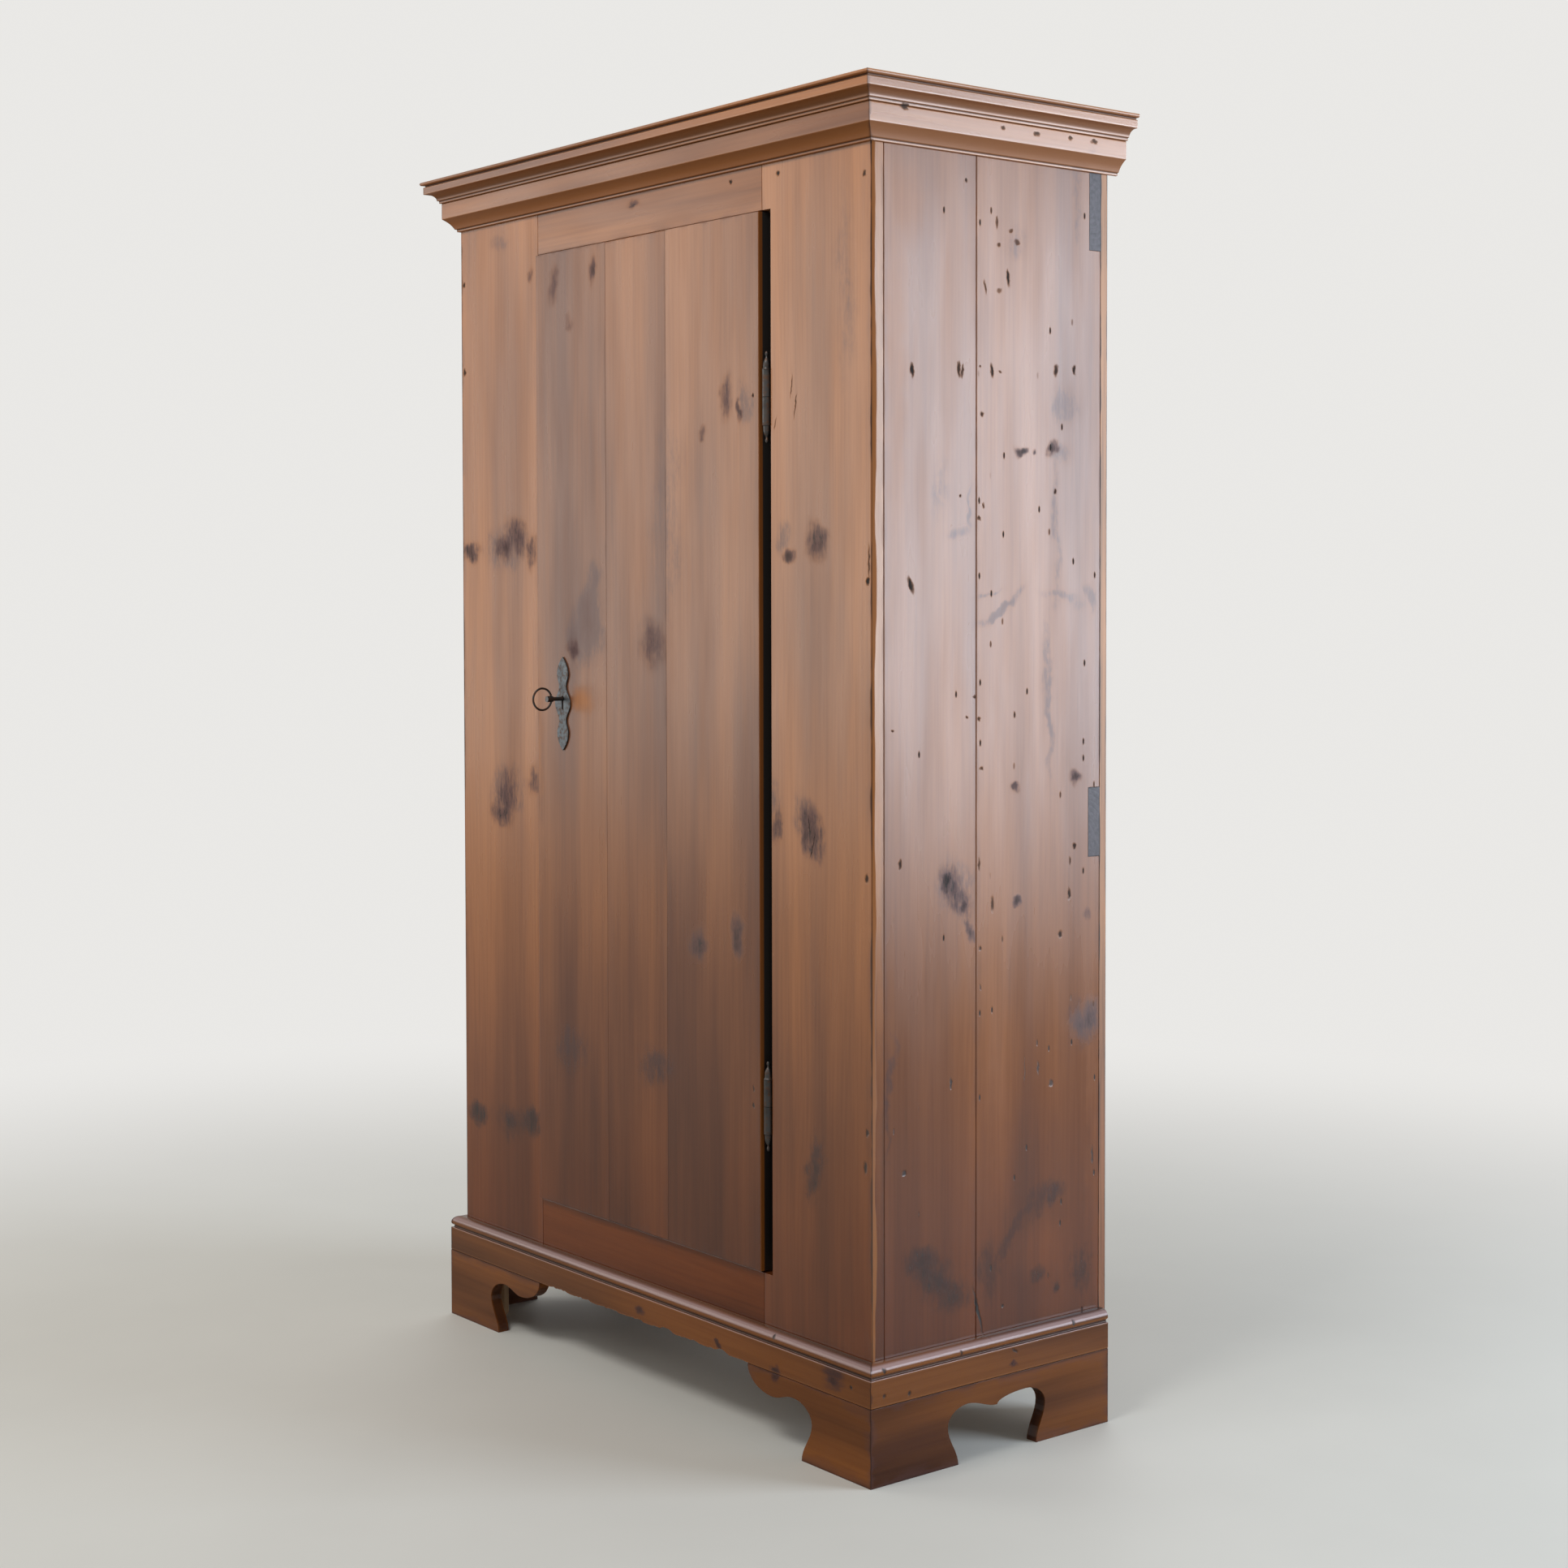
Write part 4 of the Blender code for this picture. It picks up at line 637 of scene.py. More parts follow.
def face_gaps(recipe, board, point):
    """Distances to the board's box: the least, 0 on its own faces, and the middle one of three.

    On a face the least of the three distances is 0, so the middle one is the distance to the
    nearest edge. The least is above 0 only where something was cut out of the board.
    """
    centred = recipe.vector("ABSOLUTE", recipe.vector("SUBTRACT", point, tuple(board.middle)))
    gap = recipe.vector("SUBTRACT", tuple(board.half), centred)
    x, y, z = recipe.parts(gap)
    lesser = recipe.number("MINIMUM", x, y)
    middle = recipe.greater(lesser, recipe.number("MINIMUM", recipe.greater(x, y), z))
    return recipe.number("MINIMUM", lesser, z), middle


def mitre_gap(recipe, point):
    """Distance to the upright plane in which the mouldings meet at the front corners."""
    parts = recipe.parts(point)
    beyond = recipe.number("SUBTRACT", recipe.number("ABSOLUTE", parts[0]), WALL_X)
    before = recipe.number("SUBTRACT", FRONT_Y, parts[1])
    return recipe.times(recipe.apart(beyond, before), math.sqrt(0.5))


def ragged_line(recipe, board, point, distance, reach):
    """1 where a distance is 0, fading out unevenly at about the given reach."""
    ragged = figure(recipe, board, point, "rag")
    limit = recipe.spread(ragged, 0.35, 0.7, reach * 0.15, reach * 1.7)
    return recipe.falling(distance, 0.0, limit)


def waxed_pine(
    board, light, dark, lean, edge, ring_depth, gloss, specks=0.0, moulded=False, arris=False,
    slot=None, haze_depth=0.25, foot_shade_depth=0.95, contrast=1.0,
):
    """Stained and waxed pine for one board.

    The base runs between a light and a dark tone with long bands and fine streaks along the
    grain. Growth rings, smudges and knots darken it, then painted shade darkens it towards the
    floor, and last come dark wax with painted shade along edges and in hollows and cuts, worn
    arrises, painted shade in a slot and at a stile's outer arris, and nicks.
    """
    wood = bpy.context.scene.cupboard_wood
    material, recipe, shader, plain = new_material(f"pine_{board.node}", 0.4)
    shifted = recipe.vector("ADD", plain, board.shift((0.37, 0.61, 0.23)))
    tiny, close, wide = (stirred(recipe, plain, name) for name in ("tiny", "close", "wide"))
    knots = mark_mask(recipe, board, close, "knots")
    smudges = mark_mask(recipe, board, wide, "smudges")
    rubs = mark_mask(recipe, board, close, "rubs")
    nicks = mark_mask(recipe, board, tiny, "nicks")
    smear = figure(recipe, board, plain, "smear")
    grit = figure(recipe, board, plain, "grit")
    knots = feathered(recipe, knots, smear, grit)
    smudges = feathered(recipe, smudges, smear, grit)

    bands = figure(recipe, board, shifted, "bands")
    clouds = figure(recipe, board, shifted, "clouds")
    share = recipe.summed(0.0, (bands, 0.7), (clouds, 0.5))
    tones = TONE_MIDDLE - TONE_DOWN * contrast, TONE_MIDDLE + TONE_UP * contrast
    share = recipe.spread(share, 0.40, 0.80, *tones)
    base = recipe.mix(recipe.number("ADD", share, lean - 0.5), dark, light)
    base = recipe.mix(rubs, base, wood.honey)
    streaks = figure(recipe, board, shifted, "streaks")
    base = recipe.shaded(recipe.spread(streaks, 0.35, 0.75, 0.0, 0.32), base, STREAK_SHADE)
    rings = growth_rings(recipe, board, plain, knots, wood.ring)
    fade = recipe.spread(figure(recipe, board, shifted, "fading"), 0.35, 0.7, 0.3, 1.0)
    late = recipe.times(recipe.times(rings, fade), ring_depth)
    base = recipe.shaded(late, base, RING_SHADE)

    haze = recipe.spread(figure(recipe, board, shifted, "haze"), 0.5, 0.8, 0.0, haze_depth)
    stain = recipe.greater(haze, recipe.spread(smudges, 0.04, 0.55, 0.0, 0.72))
    base = recipe.mix(stain, base, wood.smudge)
    for low, high, most, tint in ((0.05, 0.6, 0.85, wood.smudge), (0.45, 0.85, 0.8, wood.knot_rim)):
        base = recipe.mix(recipe.spread(knots, low, high, 0.0, most), base, tint)
    height = recipe.parts(wide)[2]
    # Painted shade: the wood darkens towards the floor
    low = recipe.spread(height, *DEEP_HEIGHTS, foot_shade_depth, 0.0)
    base = recipe.shaded(low, base, PAINTED_FOOT_SHADE)
    base = recipe.mix(recipe.spread(knots, 0.75, 1.1), base, wood.knot_heart)
    cracks = recipe.spread(figure(recipe, board, tiny, "cracks"), 0.56, 0.66)
    cracks = recipe.times(cracks, recipe.spread(knots, 0.3, 0.8))
    base = recipe.mix(cracks, base, wood.knot_heart)
    if specks:
        nicks = recipe.greater(nicks, worm_specks(recipe, board, plain, specks))

    dull = recipe.summed(0.0, (knots, 0.5), (smudges, 0.12), (rubs, 0.2), (nicks, 0.7))
    if moulded:
        base, dull, dirt_and_shade = moulding_wear(recipe, board, plain, base, dull, streaks)
    else:
        base, dirt_and_shade = board_wear(recipe, board, plain, base, edge)
    # Dark wax along joints and edges, with painted shade in hollows and cuts
    dirt_and_shade = recipe.times(dirt_and_shade, 0.8 * edge)
    base = recipe.mix(dirt_and_shade, base, wood.wax)
    dull = recipe.summed(dull, (dirt_and_shade, 0.35))
    if slot:
        past, deep = beyond_masks(recipe, plain, slot)
        # Painted shade in the door's slot: deep orange on the edge that shows, near black deeper in
        base = recipe.mix(past, base, wood.shade_orange)
        base = recipe.mix(recipe.times(past, deep), base, wood.knot_heart)
        dull = recipe.summed(dull, (past, 0.6))
    if arris:
        # Painted shade at a stile's outer arris: its side face darker towards the floor, a deep
        # orange band and a dark line
        orange, black, flank = corner_masks(recipe, board, plain, wood.edge)
        base = recipe.shaded(recipe.times(flank, low), base, PAINTED_FLANK_SHADE)
        base = recipe.mix(orange, base, wood.shade_orange)
        base = recipe.mix(black, base, wood.wax)
        dull = recipe.summed(dull, (recipe.greater(orange, black), 0.55))
    recipe.feed(shader.inputs["Base Color"], recipe.mix(nicks, base, wood.knot_heart))

    polish = figure(recipe, board, shifted, "polish")
    rough = recipe.number("ADD", recipe.spread(polish, 0.3, 0.75, 0.27, 0.35), dull)
    rough = recipe.times(rough, recipe.spread(height, *GLOSS_HEIGHTS, 0.45, 1.0))
    recipe.feed(shader.inputs["Roughness"], recipe.number("MINIMUM", rough, 0.95))
    tint = SIDE_GLOSS if board.on_the_side() else FRONT_GLOSS
    shader.inputs["Specular Tint"].default_value = tint
    shader.inputs["Specular IOR Level"].default_value = gloss
    relief = recipe.summed(0.0, (streaks, 0.25), (late, -0.8), (knots, 0.35), (nicks, -2.2))
    raise_grain(recipe, shader, relief, 0.35, 0.0008)
    return material


def moulding_wear(recipe, board, point, base, dull, streaks):
    """A moulding's arrises rubbed lighter, painted shade on faces that look down, a painted
    highlight on faces that look up, and dark wax with painted shade in its hollows and along its
    mitres.
    """
    wood = bpy.context.scene.cupboard_wood
    hollow, under, over = (recipe.attribute(name) for name in ("hollow", "under", "over"))
    worn = recipe.times(recipe.falling(hollow, -0.4, -0.08), streaks)
    base = recipe.mix(recipe.times(worn, 0.3), base, wood.rubbed)
    # Painted shade: faces that look down turn deep orange
    base = recipe.mix(under, base, wood.shade_orange)
    # Painted highlight: faces that look up turn lilac
    base = recipe.mix(recipe.times(over, 0.8), base, wood.lilac_highlight)
    joint = ragged_line(recipe, board, point, mitre_gap(recipe, point), wood.edge * 0.8)
    # Dark wax and painted shade in the profile's hollows, and a dark line at the mitre
    dirt_and_shade = recipe.greater(recipe.spread(hollow, 0.04, 0.26), joint)
    return base, recipe.summed(dull, (under, 0.4)), dirt_and_shade


def board_wear(recipe, board, point, base, edge):
    """A flat board's painted shade in a soft band along its edges, the dark line along its edges,
    and painted shade in its cuts.
    """
    wood = bpy.context.scene.cupboard_wood
    cut, rim = face_gaps(recipe, board, point)
    # Painted shade: a wide soft band of smudge colour along the board's edges
    edge_shade = ragged_line(recipe, board, point, rim, wood.edge * 4)
    base = recipe.mix(recipe.times(edge_shade, 0.45 * edge), base, wood.smudge)
    line = ragged_line(recipe, board, point, rim, wood.edge)
    # A dark line along the edges, and painted shade in cuts and recesses
    return base, recipe.greater(line, recipe.spread(cut, 0.0005, 0.004))


def raise_grain(recipe, shader, relief, strength, depth):
    """A bump from a relief, for the shader's normal."""
    settings = {"Strength": strength, "Distance": depth, "Height": relief}
    bump = recipe.add("ShaderNodeBump", settings)
    recipe.feed(shader.inputs["Normal"], bump.outputs["Normal"])


def feathered(recipe, mask, smear, grit):
    """A mask whose edge is broken up by grit and drawn out in streaks along the grain."""
    uneven = recipe.summed(-0.6, (grit, 0.9), (smear, 0.35))
    near = recipe.spread(mask, 0.0, 0.3)
    return recipe.number("MULTIPLY_ADD", uneven, near, mask)


def corner_masks(recipe, board, point, reach):
    """Masks at a stile's outer arris: deep orange beside it, a dark line, and its side face."""
    parts = recipe.parts(point)
    outer = board.high[0] if board.middle[0] > 0 else board.low[0]
    across = recipe.apart(parts[0], outer)
    back = recipe.number("SUBTRACT", parts[1], board.low[1])
    side = recipe.falling(across, 0.0, reach)
    uneven = figure(recipe, board, point, "arris")
    limit = recipe.spread(uneven, 0.3, 0.7, reach * 1.5, reach * 2.8)
    orange = recipe.times(side, recipe.falling(back, recipe.times(limit, 0.7), limit))
    before = recipe.falling(back, 0.0003, 0.0012)
    black = recipe.times(before, ragged_line(recipe, board, point, across, reach))
    flank = recipe.times(side, recipe.spread(back, 0.001, 0.002))
    return orange, black, flank


def beyond_masks(recipe, point, corner):
    """Two masks past a corner's x and y: the edge that a slot shows, and its shadowed depth."""
    parts = recipe.parts(point)
    past = recipe.spread(parts[0], corner[0] - 0.001, corner[0])
    deep = recipe.spread(parts[1], corner[1] - 0.0016, corner[1] + 0.0008)
    return past, deep


def stirred(recipe, point, name):
    """The point pushed about by coloured noise, so that what is drawn there turns uneven."""
    scale, amount = STIRS[name]
    settings = {"Vector": point, "Scale": scale, "Detail": 3.0}
    stir = recipe.add("ShaderNodeTexNoise", settings).outputs["Color"]
    stir = recipe.vector("SUBTRACT", stir, (0.5, 0.5, 0.5))
    return recipe.vector("ADD", point, recipe.vector("MULTIPLY", stir, (amount,) * 3))


def scattered(recipe, board, point, cells):
    """Cells scattered over a board's face: distance to the nearest centre, and a chance each."""
    parts = recipe.parts(point)
    across, along = cells
    sides = recipe.times(parts[board.across], across), recipe.times(parts[board.grain], along)
    flat = recipe.add("ShaderNodeCombineXYZ", dict(zip("XY", sides))).outputs[0]
    terms = {"Vector": flat, "Scale": 1.0}
    found = recipe.add("ShaderNodeTexVoronoi", terms, voronoi_dimensions="2D").outputs
    return found["Distance"], recipe.parts(found["Color"])[0]


def worm_specks(recipe, board, point, amount):
    """Small dark flecks, longer along the grain, in some of the cells of a fine lattice."""
    distance, chance = scattered(recipe, board, point, SPECK_CELLS)
    near = recipe.falling(distance, 0.04, 0.09)
    return recipe.times(near, recipe.spread(chance, 1.0 - amount, 1.0 - amount / 2))


def bare_pine(board, flank=None, flank_tone=None, gloss=0.25):
    """Unfinished old pine: paler, matt, with faint rings and a few knots of its own.

    Where a board comes out at the cupboard's flanks, past the given x, it has another tone.
    """
    wood = bpy.context.scene.cupboard_wood
    material, recipe, shader, point = new_material(f"bare_pine_{board.node}", 0.75)
    shifted = recipe.vector("ADD", point, board.shift((0.41, 0.19, 0.73)))
    distance, chance = scattered(recipe, board, stirred(recipe, shifted, "bare"), BARE_KNOT_CELLS)
    knots = recipe.falling(distance, 0.02, 0.15)
    knots = recipe.times(knots, recipe.spread(chance, 0.8, 1.0, 0.0, 1.2))
    bands = figure(recipe, board, shifted, "bare bands")
    base = recipe.mix(recipe.spread(bands, 0.3, 0.72), wood.bare_dark, wood.bare_light)
    rings = growth_rings(recipe, board, point, knots, wood.ring)
    base = recipe.shaded(recipe.times(rings, 0.22), base, BARE_RING_SHADE)
    streaks = figure(recipe, board, shifted, "bare streaks")
    base = recipe.shaded(recipe.spread(streaks, 0.4, 0.8, 0.0, 0.25), base, BARE_STREAK_SHADE)
    for low, high, most, tint in ((0.0, 0.5, 0.8, wood.brown), (0.5, 0.9, 0.7, wood.knot_rim)):
        base = recipe.mix(recipe.spread(knots, low, high, 0.0, most), base, tint)
    clouds = figure(recipe, board, shifted, "bare clouds")
    base = recipe.shaded(recipe.spread(clouds, 0.45, 0.75, 0.0, 0.5), base, BARE_CLOUD_SHADE)
    rim = face_gaps(recipe, board, point)[1]
    grime = ragged_line(recipe, board, point, rim, wood.edge)
    base = recipe.mix(recipe.times(grime, 0.55), base, wood.wax)
    if flank:
        x, _, z = recipe.parts(point)
        shown = recipe.spread(recipe.number("ABSOLUTE", x), flank - 0.001, flank + 0.001)
        line = ragged_line(recipe, board, point, rim, wood.edge / 2)
        dark = recipe.greater(line, recipe.spread(streaks, 0.3, 0.8, 0.0, 0.5))
        worn = recipe.mix(dark, flank_tone, wood.knot_heart)
        # Painted shade: the flank darkens towards the floor
        worn = recipe.shaded(recipe.spread(z, 0.15, 1.1, 0.85, 0.0), worn, PAINTED_BARE_FOOT_SHADE)
        base = recipe.mix(shown, base, worn)
        recipe.feed(shader.inputs["Roughness"], recipe.spread(shown, 0.0, 1.0, 0.75, 0.5))
    recipe.feed(shader.inputs["Base Color"], base)
    shader.inputs["Specular IOR Level"].default_value = gloss
    raise_grain(recipe, shader, recipe.summed(streaks, (rings, -0.4)), 0.4, 0.0006)
    return material


def old_iron(name, shade, roughness):
    """Forged iron: dull, mottled with rust and grime."""
    iron = bpy.context.scene.cupboard_iron
    material, recipe, shader, point = new_material(name, roughness)
    shader.inputs["Metallic"].default_value = 0.85
    bloom = recipe.noise(point, (160.0,) * 3, 4.0, 0.65)
    base = recipe.mix(recipe.spread(bloom, 0.45, 0.72), shade, iron.rust)
    grime = recipe.spread(recipe.noise(point, (45.0,) * 3, 3.0), 0.5, 0.8, 0.0, 0.6)
    recipe.feed(shader.inputs["Base Color"], recipe.mix(grime, base, SOOT))
    rough = recipe.spread(bloom, 0.3, 0.7, roughness - 0.1, roughness + 0.15)
    recipe.feed(shader.inputs["Roughness"], rough)
    raise_grain(recipe, shader, bloom, 0.35, 0.0005)
    return material


def dress(node, material):
    """Gives a CAD node another material and keeps its shape."""
    part = frame["nodes"][node]
    if part.material_slots:
        part.material_slots[0].material = material
    else:
        part.data.materials.append(material)
    return part


def soften(part, width):
    """Rounds a board's arrises by a small width, with live modifiers over its own mesh."""
    weld = part.modifiers.new("weld", "WELD")
    weld.merge_threshold = WELD_REACH
    bevel = part.modifiers.new("arris", "BEVEL")
    bevel.width = width
    bevel.segments = 3
    bevel.limit_method = "ANGLE"
    bevel.angle_limit = BEVEL_ANGLE


def new_piece(name, vertices, faces, material, body, node):
    """A smooth-shaded mesh that stands for a CAD node and rides on its body."""
    mesh = bpy.data.meshes.new(name)
    mesh.from_pydata(vertices, [], faces)
    mesh.validate()
    mesh.shade_smooth()
    mesh.set_sharp_from_angle(angle=SHARP_ANGLE)
    mesh.materials.append(material)
    piece = bpy.data.objects.new(name, mesh)
    bpy.context.scene.collection.objects.link(piece)
    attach(piece, body)
    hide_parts(node)
    return piece


def grid_faces(rows, columns, wrap_rows=False, wrap_columns=False):
    """Quads of a grid of points that are numbered row by row, closed round where asked."""
    i = np.arange(rows if wrap_rows else rows - 1)[:, None]
    j = np.arange(columns if wrap_columns else columns - 1)[None, :]
    below, beside = (i + 1) % rows, (j + 1) % columns
    corners = (i * columns + j, below * columns + j, below * columns + beside, i * columns + beside)
    return np.stack(np.broadcast_arrays(*corners), axis=-1).reshape(-1, 4).tolist()


def eased(points, radius, steps=4):
    """A closed outline with each corner replaced by a short curve.

    The curve at corner P runs from P - r·in to P + r·out as (1-t)²A + 2t(1-t)P + t²B, where r
    is the radius or a little under half of the shorter edge beside the corner.
    """
    points = np.array(points, float)
    before = np.roll(points, 1, axis=0) - points
    after = np.roll(points, -1, axis=0) - points
    length_before = np.linalg.norm(before, axis=1)
    length_after = np.linalg.norm(after, axis=1)
    reach = np.minimum(radius, 0.45 * np.minimum(length_before, length_after))
    start = points + before / length_before[:, None] * reach[:, None]
    end = points + after / length_after[:, None] * reach[:, None]
    t = np.linspace(0, 1, steps)[None, :, None]
    curve = (1 - t) ** 2 * start[:, None] + 2 * t * (1 - t) * points[:, None] + t**2 * end[:, None]
    return curve.reshape(-1, 2)


def divided(outline, step):
    """A closed outline with more points, so that none are further apart than the step."""
    loop, place = outline_places(outline)
    places = np.unique(np.concatenate([place[:-1], np.arange(0, place[-1], step)]))
    return np.stack([np.interp(places, place, loop[:, k]) for k in (0, 1)], axis=1)


def hollows(outline, reach):
    """How hollow a closed outline is at each point: above 0 in a quirk, below 0 on an arris.

    With A and B the points at the given reach before and behind P along the outline, it is
    ((A + B) / 2 - P) · outward normal / reach.
    """
    loop, place = outline_places(outline)
    length = place[-1]

    def at(places):
        return np.stack([np.interp(places % length, place, loop[:, k]) for k in (0, 1)], axis=1)

    ahead, behind = at(place[:-1] + reach), at(place[:-1] - reach)
    chord = ahead - behind
    outward = np.stack([chord[:, 1], -chord[:, 0]], axis=1)
    outward /= np.maximum(np.linalg.norm(outward, axis=1, keepdims=True), 1e-9)
    return np.sum(((ahead + behind) / 2 - outline) * outward, axis=1) / reach


def wander(along, seed, waves):
    """A smooth uneven line between about -1 and 1: a sum of sines of set waves per metre."""
    total = np.zeros_like(along)
    for index, rate in enumerate(waves):
        phase = seed * (1.7 + index) + index**2
        total += np.sin(along * rate * math.tau / 4 + phase) / (index + 1.6)
    return total / 1.4


def arc_points(centre, radii, start, end, steps=8):
    """Points of an oval arc: centre + (rx cos a, ry sin a), with a from start to end."""
    angle = np.radians(np.linspace(start, end, steps + 1))
    return np.array(centre) + np.array(radii) * np.column_stack((np.cos(angle), np.sin(angle)))


def crown_outline(reach, height):
    """Crown moulding from the wall's foot: bead, cove, fascia, quirk and rounded nose."""
    s = CROWN_SHARES
    size = np.array((reach, height))
    nose = (1 - s["quirk_top"]) * height / 2
    cove = np.array((s["cove_head"] - s["cove_foot"], s["cove_top"] - s["bead_top"])) * size
    return np.vstack((
        np.array(((0, 0), (s["bead"], 0), (s["bead"], s["bead_top"]))) * size,
        arc_points(np.array((s["cove_head"], s["bead_top"])) * size, cove, 180, 90),
        np.array((
            (s["fascia"], s["cove_top"]),
            (s["fascia"], s["fascia_top"]),
            (s["quirk"], s["fascia_top"]),
            (s["quirk"], s["quirk_top"]),
        )) * size,
        arc_points((reach - nose, height - nose), (nose, nose), -90, 90),
        (0, height),
    ))


def frieze_outline(reach, height):
    """Lower moulding of the cornice from the wall's foot: lip, hollowed splay and face.

    The splay is start + (end - start) t + inward · 4t(1-t) · sag.
    """
    s = FRIEZE_SHARES
    size = np.array((reach, height))
    start = np.array((s["foot"], s["lip_top"])) * size
    end = np.array((1, s["face_base"])) * size
    t = np.linspace(0, 1, 8)[:, None]
    inward = np.array((-(end - start)[1], (end - start)[0])) / np.linalg.norm(end - start)
    return np.vstack((
        np.array(((0, 0), (s["lip"], 0), (s["lip"], s["lip_top"]))) * size,
        start + (end - start) * t + inward * 4 * t * (1 - t) * s["sag"] * height,
        (reach, height),
        (0, height),
    ))


def base_outline(reach, height):
    """Base moulding from the wall's foot: flat, quirk and one broad rounded nose."""
    s = BASE_SHARES
    size = np.array((reach, height))
    middle = s["nose_middle"] * height
    curl = (s["nose_middle"] - s["quirk_top"]) * height
    nose = ((1 - s["nose_head"]) * reach, (1 - s["nose_middle"]) * height)
    corners = (
        (0, 0),
        (1, 0),
        (1, s["flat_top"]),
        (s["quirk"], s["flat_top"]),
        (s["quirk"], s["quirk_top"]),
    )
    return np.vstack((
        np.array(corners) * size,
        arc_points((reach - curl, middle), (curl, curl), -90, 0, 6),
        arc_points((s["nose_head"] * reach, middle), nose, 0, 90)[1:],
        (0, height),
    ))


def moulding_run(node, outline_of, material, seed, chips=0.0, rounded=0.0):
    """One run of a moulding: its profile carried straight along the wall.

    Point (i, j) = foot of the wall at station j + out · reach(i, j) + up · height(i, j). A
    profile point at reach r starts and ends r further out where an end is mitred. The outside
    wavers by a sum of sines, and chips lift the lowest edge between the brackets.
    """
    wear = bpy.context.scene.cupboard_wear
    low, high = (np.array(corner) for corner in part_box(node))
    height = high[2] - low[2]
    front = node.endswith("front")
    if front:
        reach = FRONT_Y - low[1] - WALL_GAP
        start_of, end_of = np.array((-WALL_X, FRONT_Y)), np.array((WALL_X, FRONT_Y))
        out = np.array((0.0, -1.0))
    else:
        sign = 1.0 if node.endswith("right") else -1.0
        reach = (high[0] if sign > 0 else -low[0]) - WALL_X - WALL_GAP
        start_of, end_of = np.array((sign * WALL_X, FRONT_Y)), np.array((sign * WALL_X, high[1]))
        out = np.array((sign, 0.0))
    profile = divided(eased(outline_of(reach, height), wear.easing), PROFILE_STEP)
    length = np.linalg.norm(end_of - start_of)
    along = (end_of - start_of) / length
    stations = np.linspace(0, 1, int(length / STATION))[None, :]
    mitre = profile[:, :1] + WALL_GAP - MITRE_GAP
    start = -mitre
    end = length + (mitre if front else np.zeros_like(mitre))
    run = start + (end - start) * stations
    exposed = np.clip(profile[:, :1] / reach * 3 - 0.6, 0, 1)
    waver = wander(run, seed, WAVER_WAVES) * wear.waver - wear.waver
    outward = profile[:, :1] + WALL_GAP + exposed * waver
    upward = profile[:, 1:] + np.zeros_like(run)
    if chips:
        upward = upward + chipped_edge(run - length / 2, profile, height, seed) * chips
    flat = start_of + run[..., None] * along + outward[..., None] * out
    vertices = np.concatenate([flat, (low[2] + upward)[..., None]], axis=-1)
    rows, columns = run.shape
    faces = grid_faces(rows, columns, wrap_rows=True)
    ends = np.arange(rows) * columns
    faces += [ends[::-1].tolist(), (ends + columns - 1).tolist()]
    if out @ (1.0, -1.0) > 0:
        faces = [face[::-1] for face in faces]
    body = frame["nodes"][node]["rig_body"]
    vertices = vertices.reshape(-1, 3).tolist()
    piece = new_piece(f"{node}_run", vertices, faces, material, body, node)
    # hollow feeds dark wax and painted shade, under painted shade on faces that look down, over a
    # painted highlight on faces that look up
    give_points(piece, "hollow", np.repeat(hollows(profile, HOLLOW_REACH), columns))
    facing = np.repeat(downward(profile), columns)
    give_points(piece, "under", np.clip(facing * 1.6, 0, 1))
    over = np.clip((-facing - 0.12) / 0.3, 0, 1) * np.clip((1 + facing) / 0.2, 0, 1)
    give_points(piece, "over", over * rounded)
    return piece


def give_points(piece, name, values):
    """Keeps one number for each point of a mesh, for its material to read."""
    layer = piece.data.attributes.new(name, "FLOAT", "POINT")
    layer.data.foreach_set("value", values)


def outline_places(outline):
    """A closed outline with its first point again at the end, and each point's place along it."""
    loop = np.vstack([outline, outline[:1]])
    steps = np.linalg.norm(np.diff(loop, axis=0), axis=1)
    return loop, np.concatenate([[0], np.cumsum(steps)])


def downward(outline):
    """How far each point of a closed outline faces down, from 1 to -1 where it faces up."""
    chord = np.roll(outline, -1, axis=0) - np.roll(outline, 1, axis=0)
    return chord[:, 0] / np.maximum(np.linalg.norm(chord, axis=1), 1e-9)


def chipped_edge(run, profile, height, seed):
    """Lift of the lower edge: 0 over the brackets, and between them 0.6 ragged + bites.

    Ragged is a sum of sines cut off below 0, and a bite is exp(-(distance / size)²).
    """
    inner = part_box("bracket_front_right")[0].x
    between = np.clip((inner - np.abs(run)) / 0.02, 0, 1)
    ragged = np.clip(wander(run, seed + 2, CHIP_WAVES) + 0.25, 0, 1)
    bites = sum(np.exp(-(((run - place) / size) ** 2)) for place, size in BITES)
    foot = np.clip(1 - profile[:, 1:] / (height * 0.12), 0, 1)
    return between * foot * np.clip(ragged * 0.6 + bites, 0, 1)


def turned_piece(profile, axis_place, steps=40):
    """A surface of revolution about an upright line: profile radius times (cos a, sin a)."""
    profile = np.array(profile, float)
    angle = np.linspace(0, math.tau, steps, endpoint=False)
    radius, height = profile[:, :1], profile[:, 1:]
    vertices = np.stack(
        [radius * np.cos(angle), radius * np.sin(angle), height + 0 * angle], axis=-1
    )
    rows = len(profile)
    faces = grid_faces(rows, steps, wrap_columns=True)
    faces += [list(range(steps))[::-1], [(rows - 1) * steps + k for k in range(steps)]]
    return vertices.reshape(-1, 3) + np.array(axis_place), faces


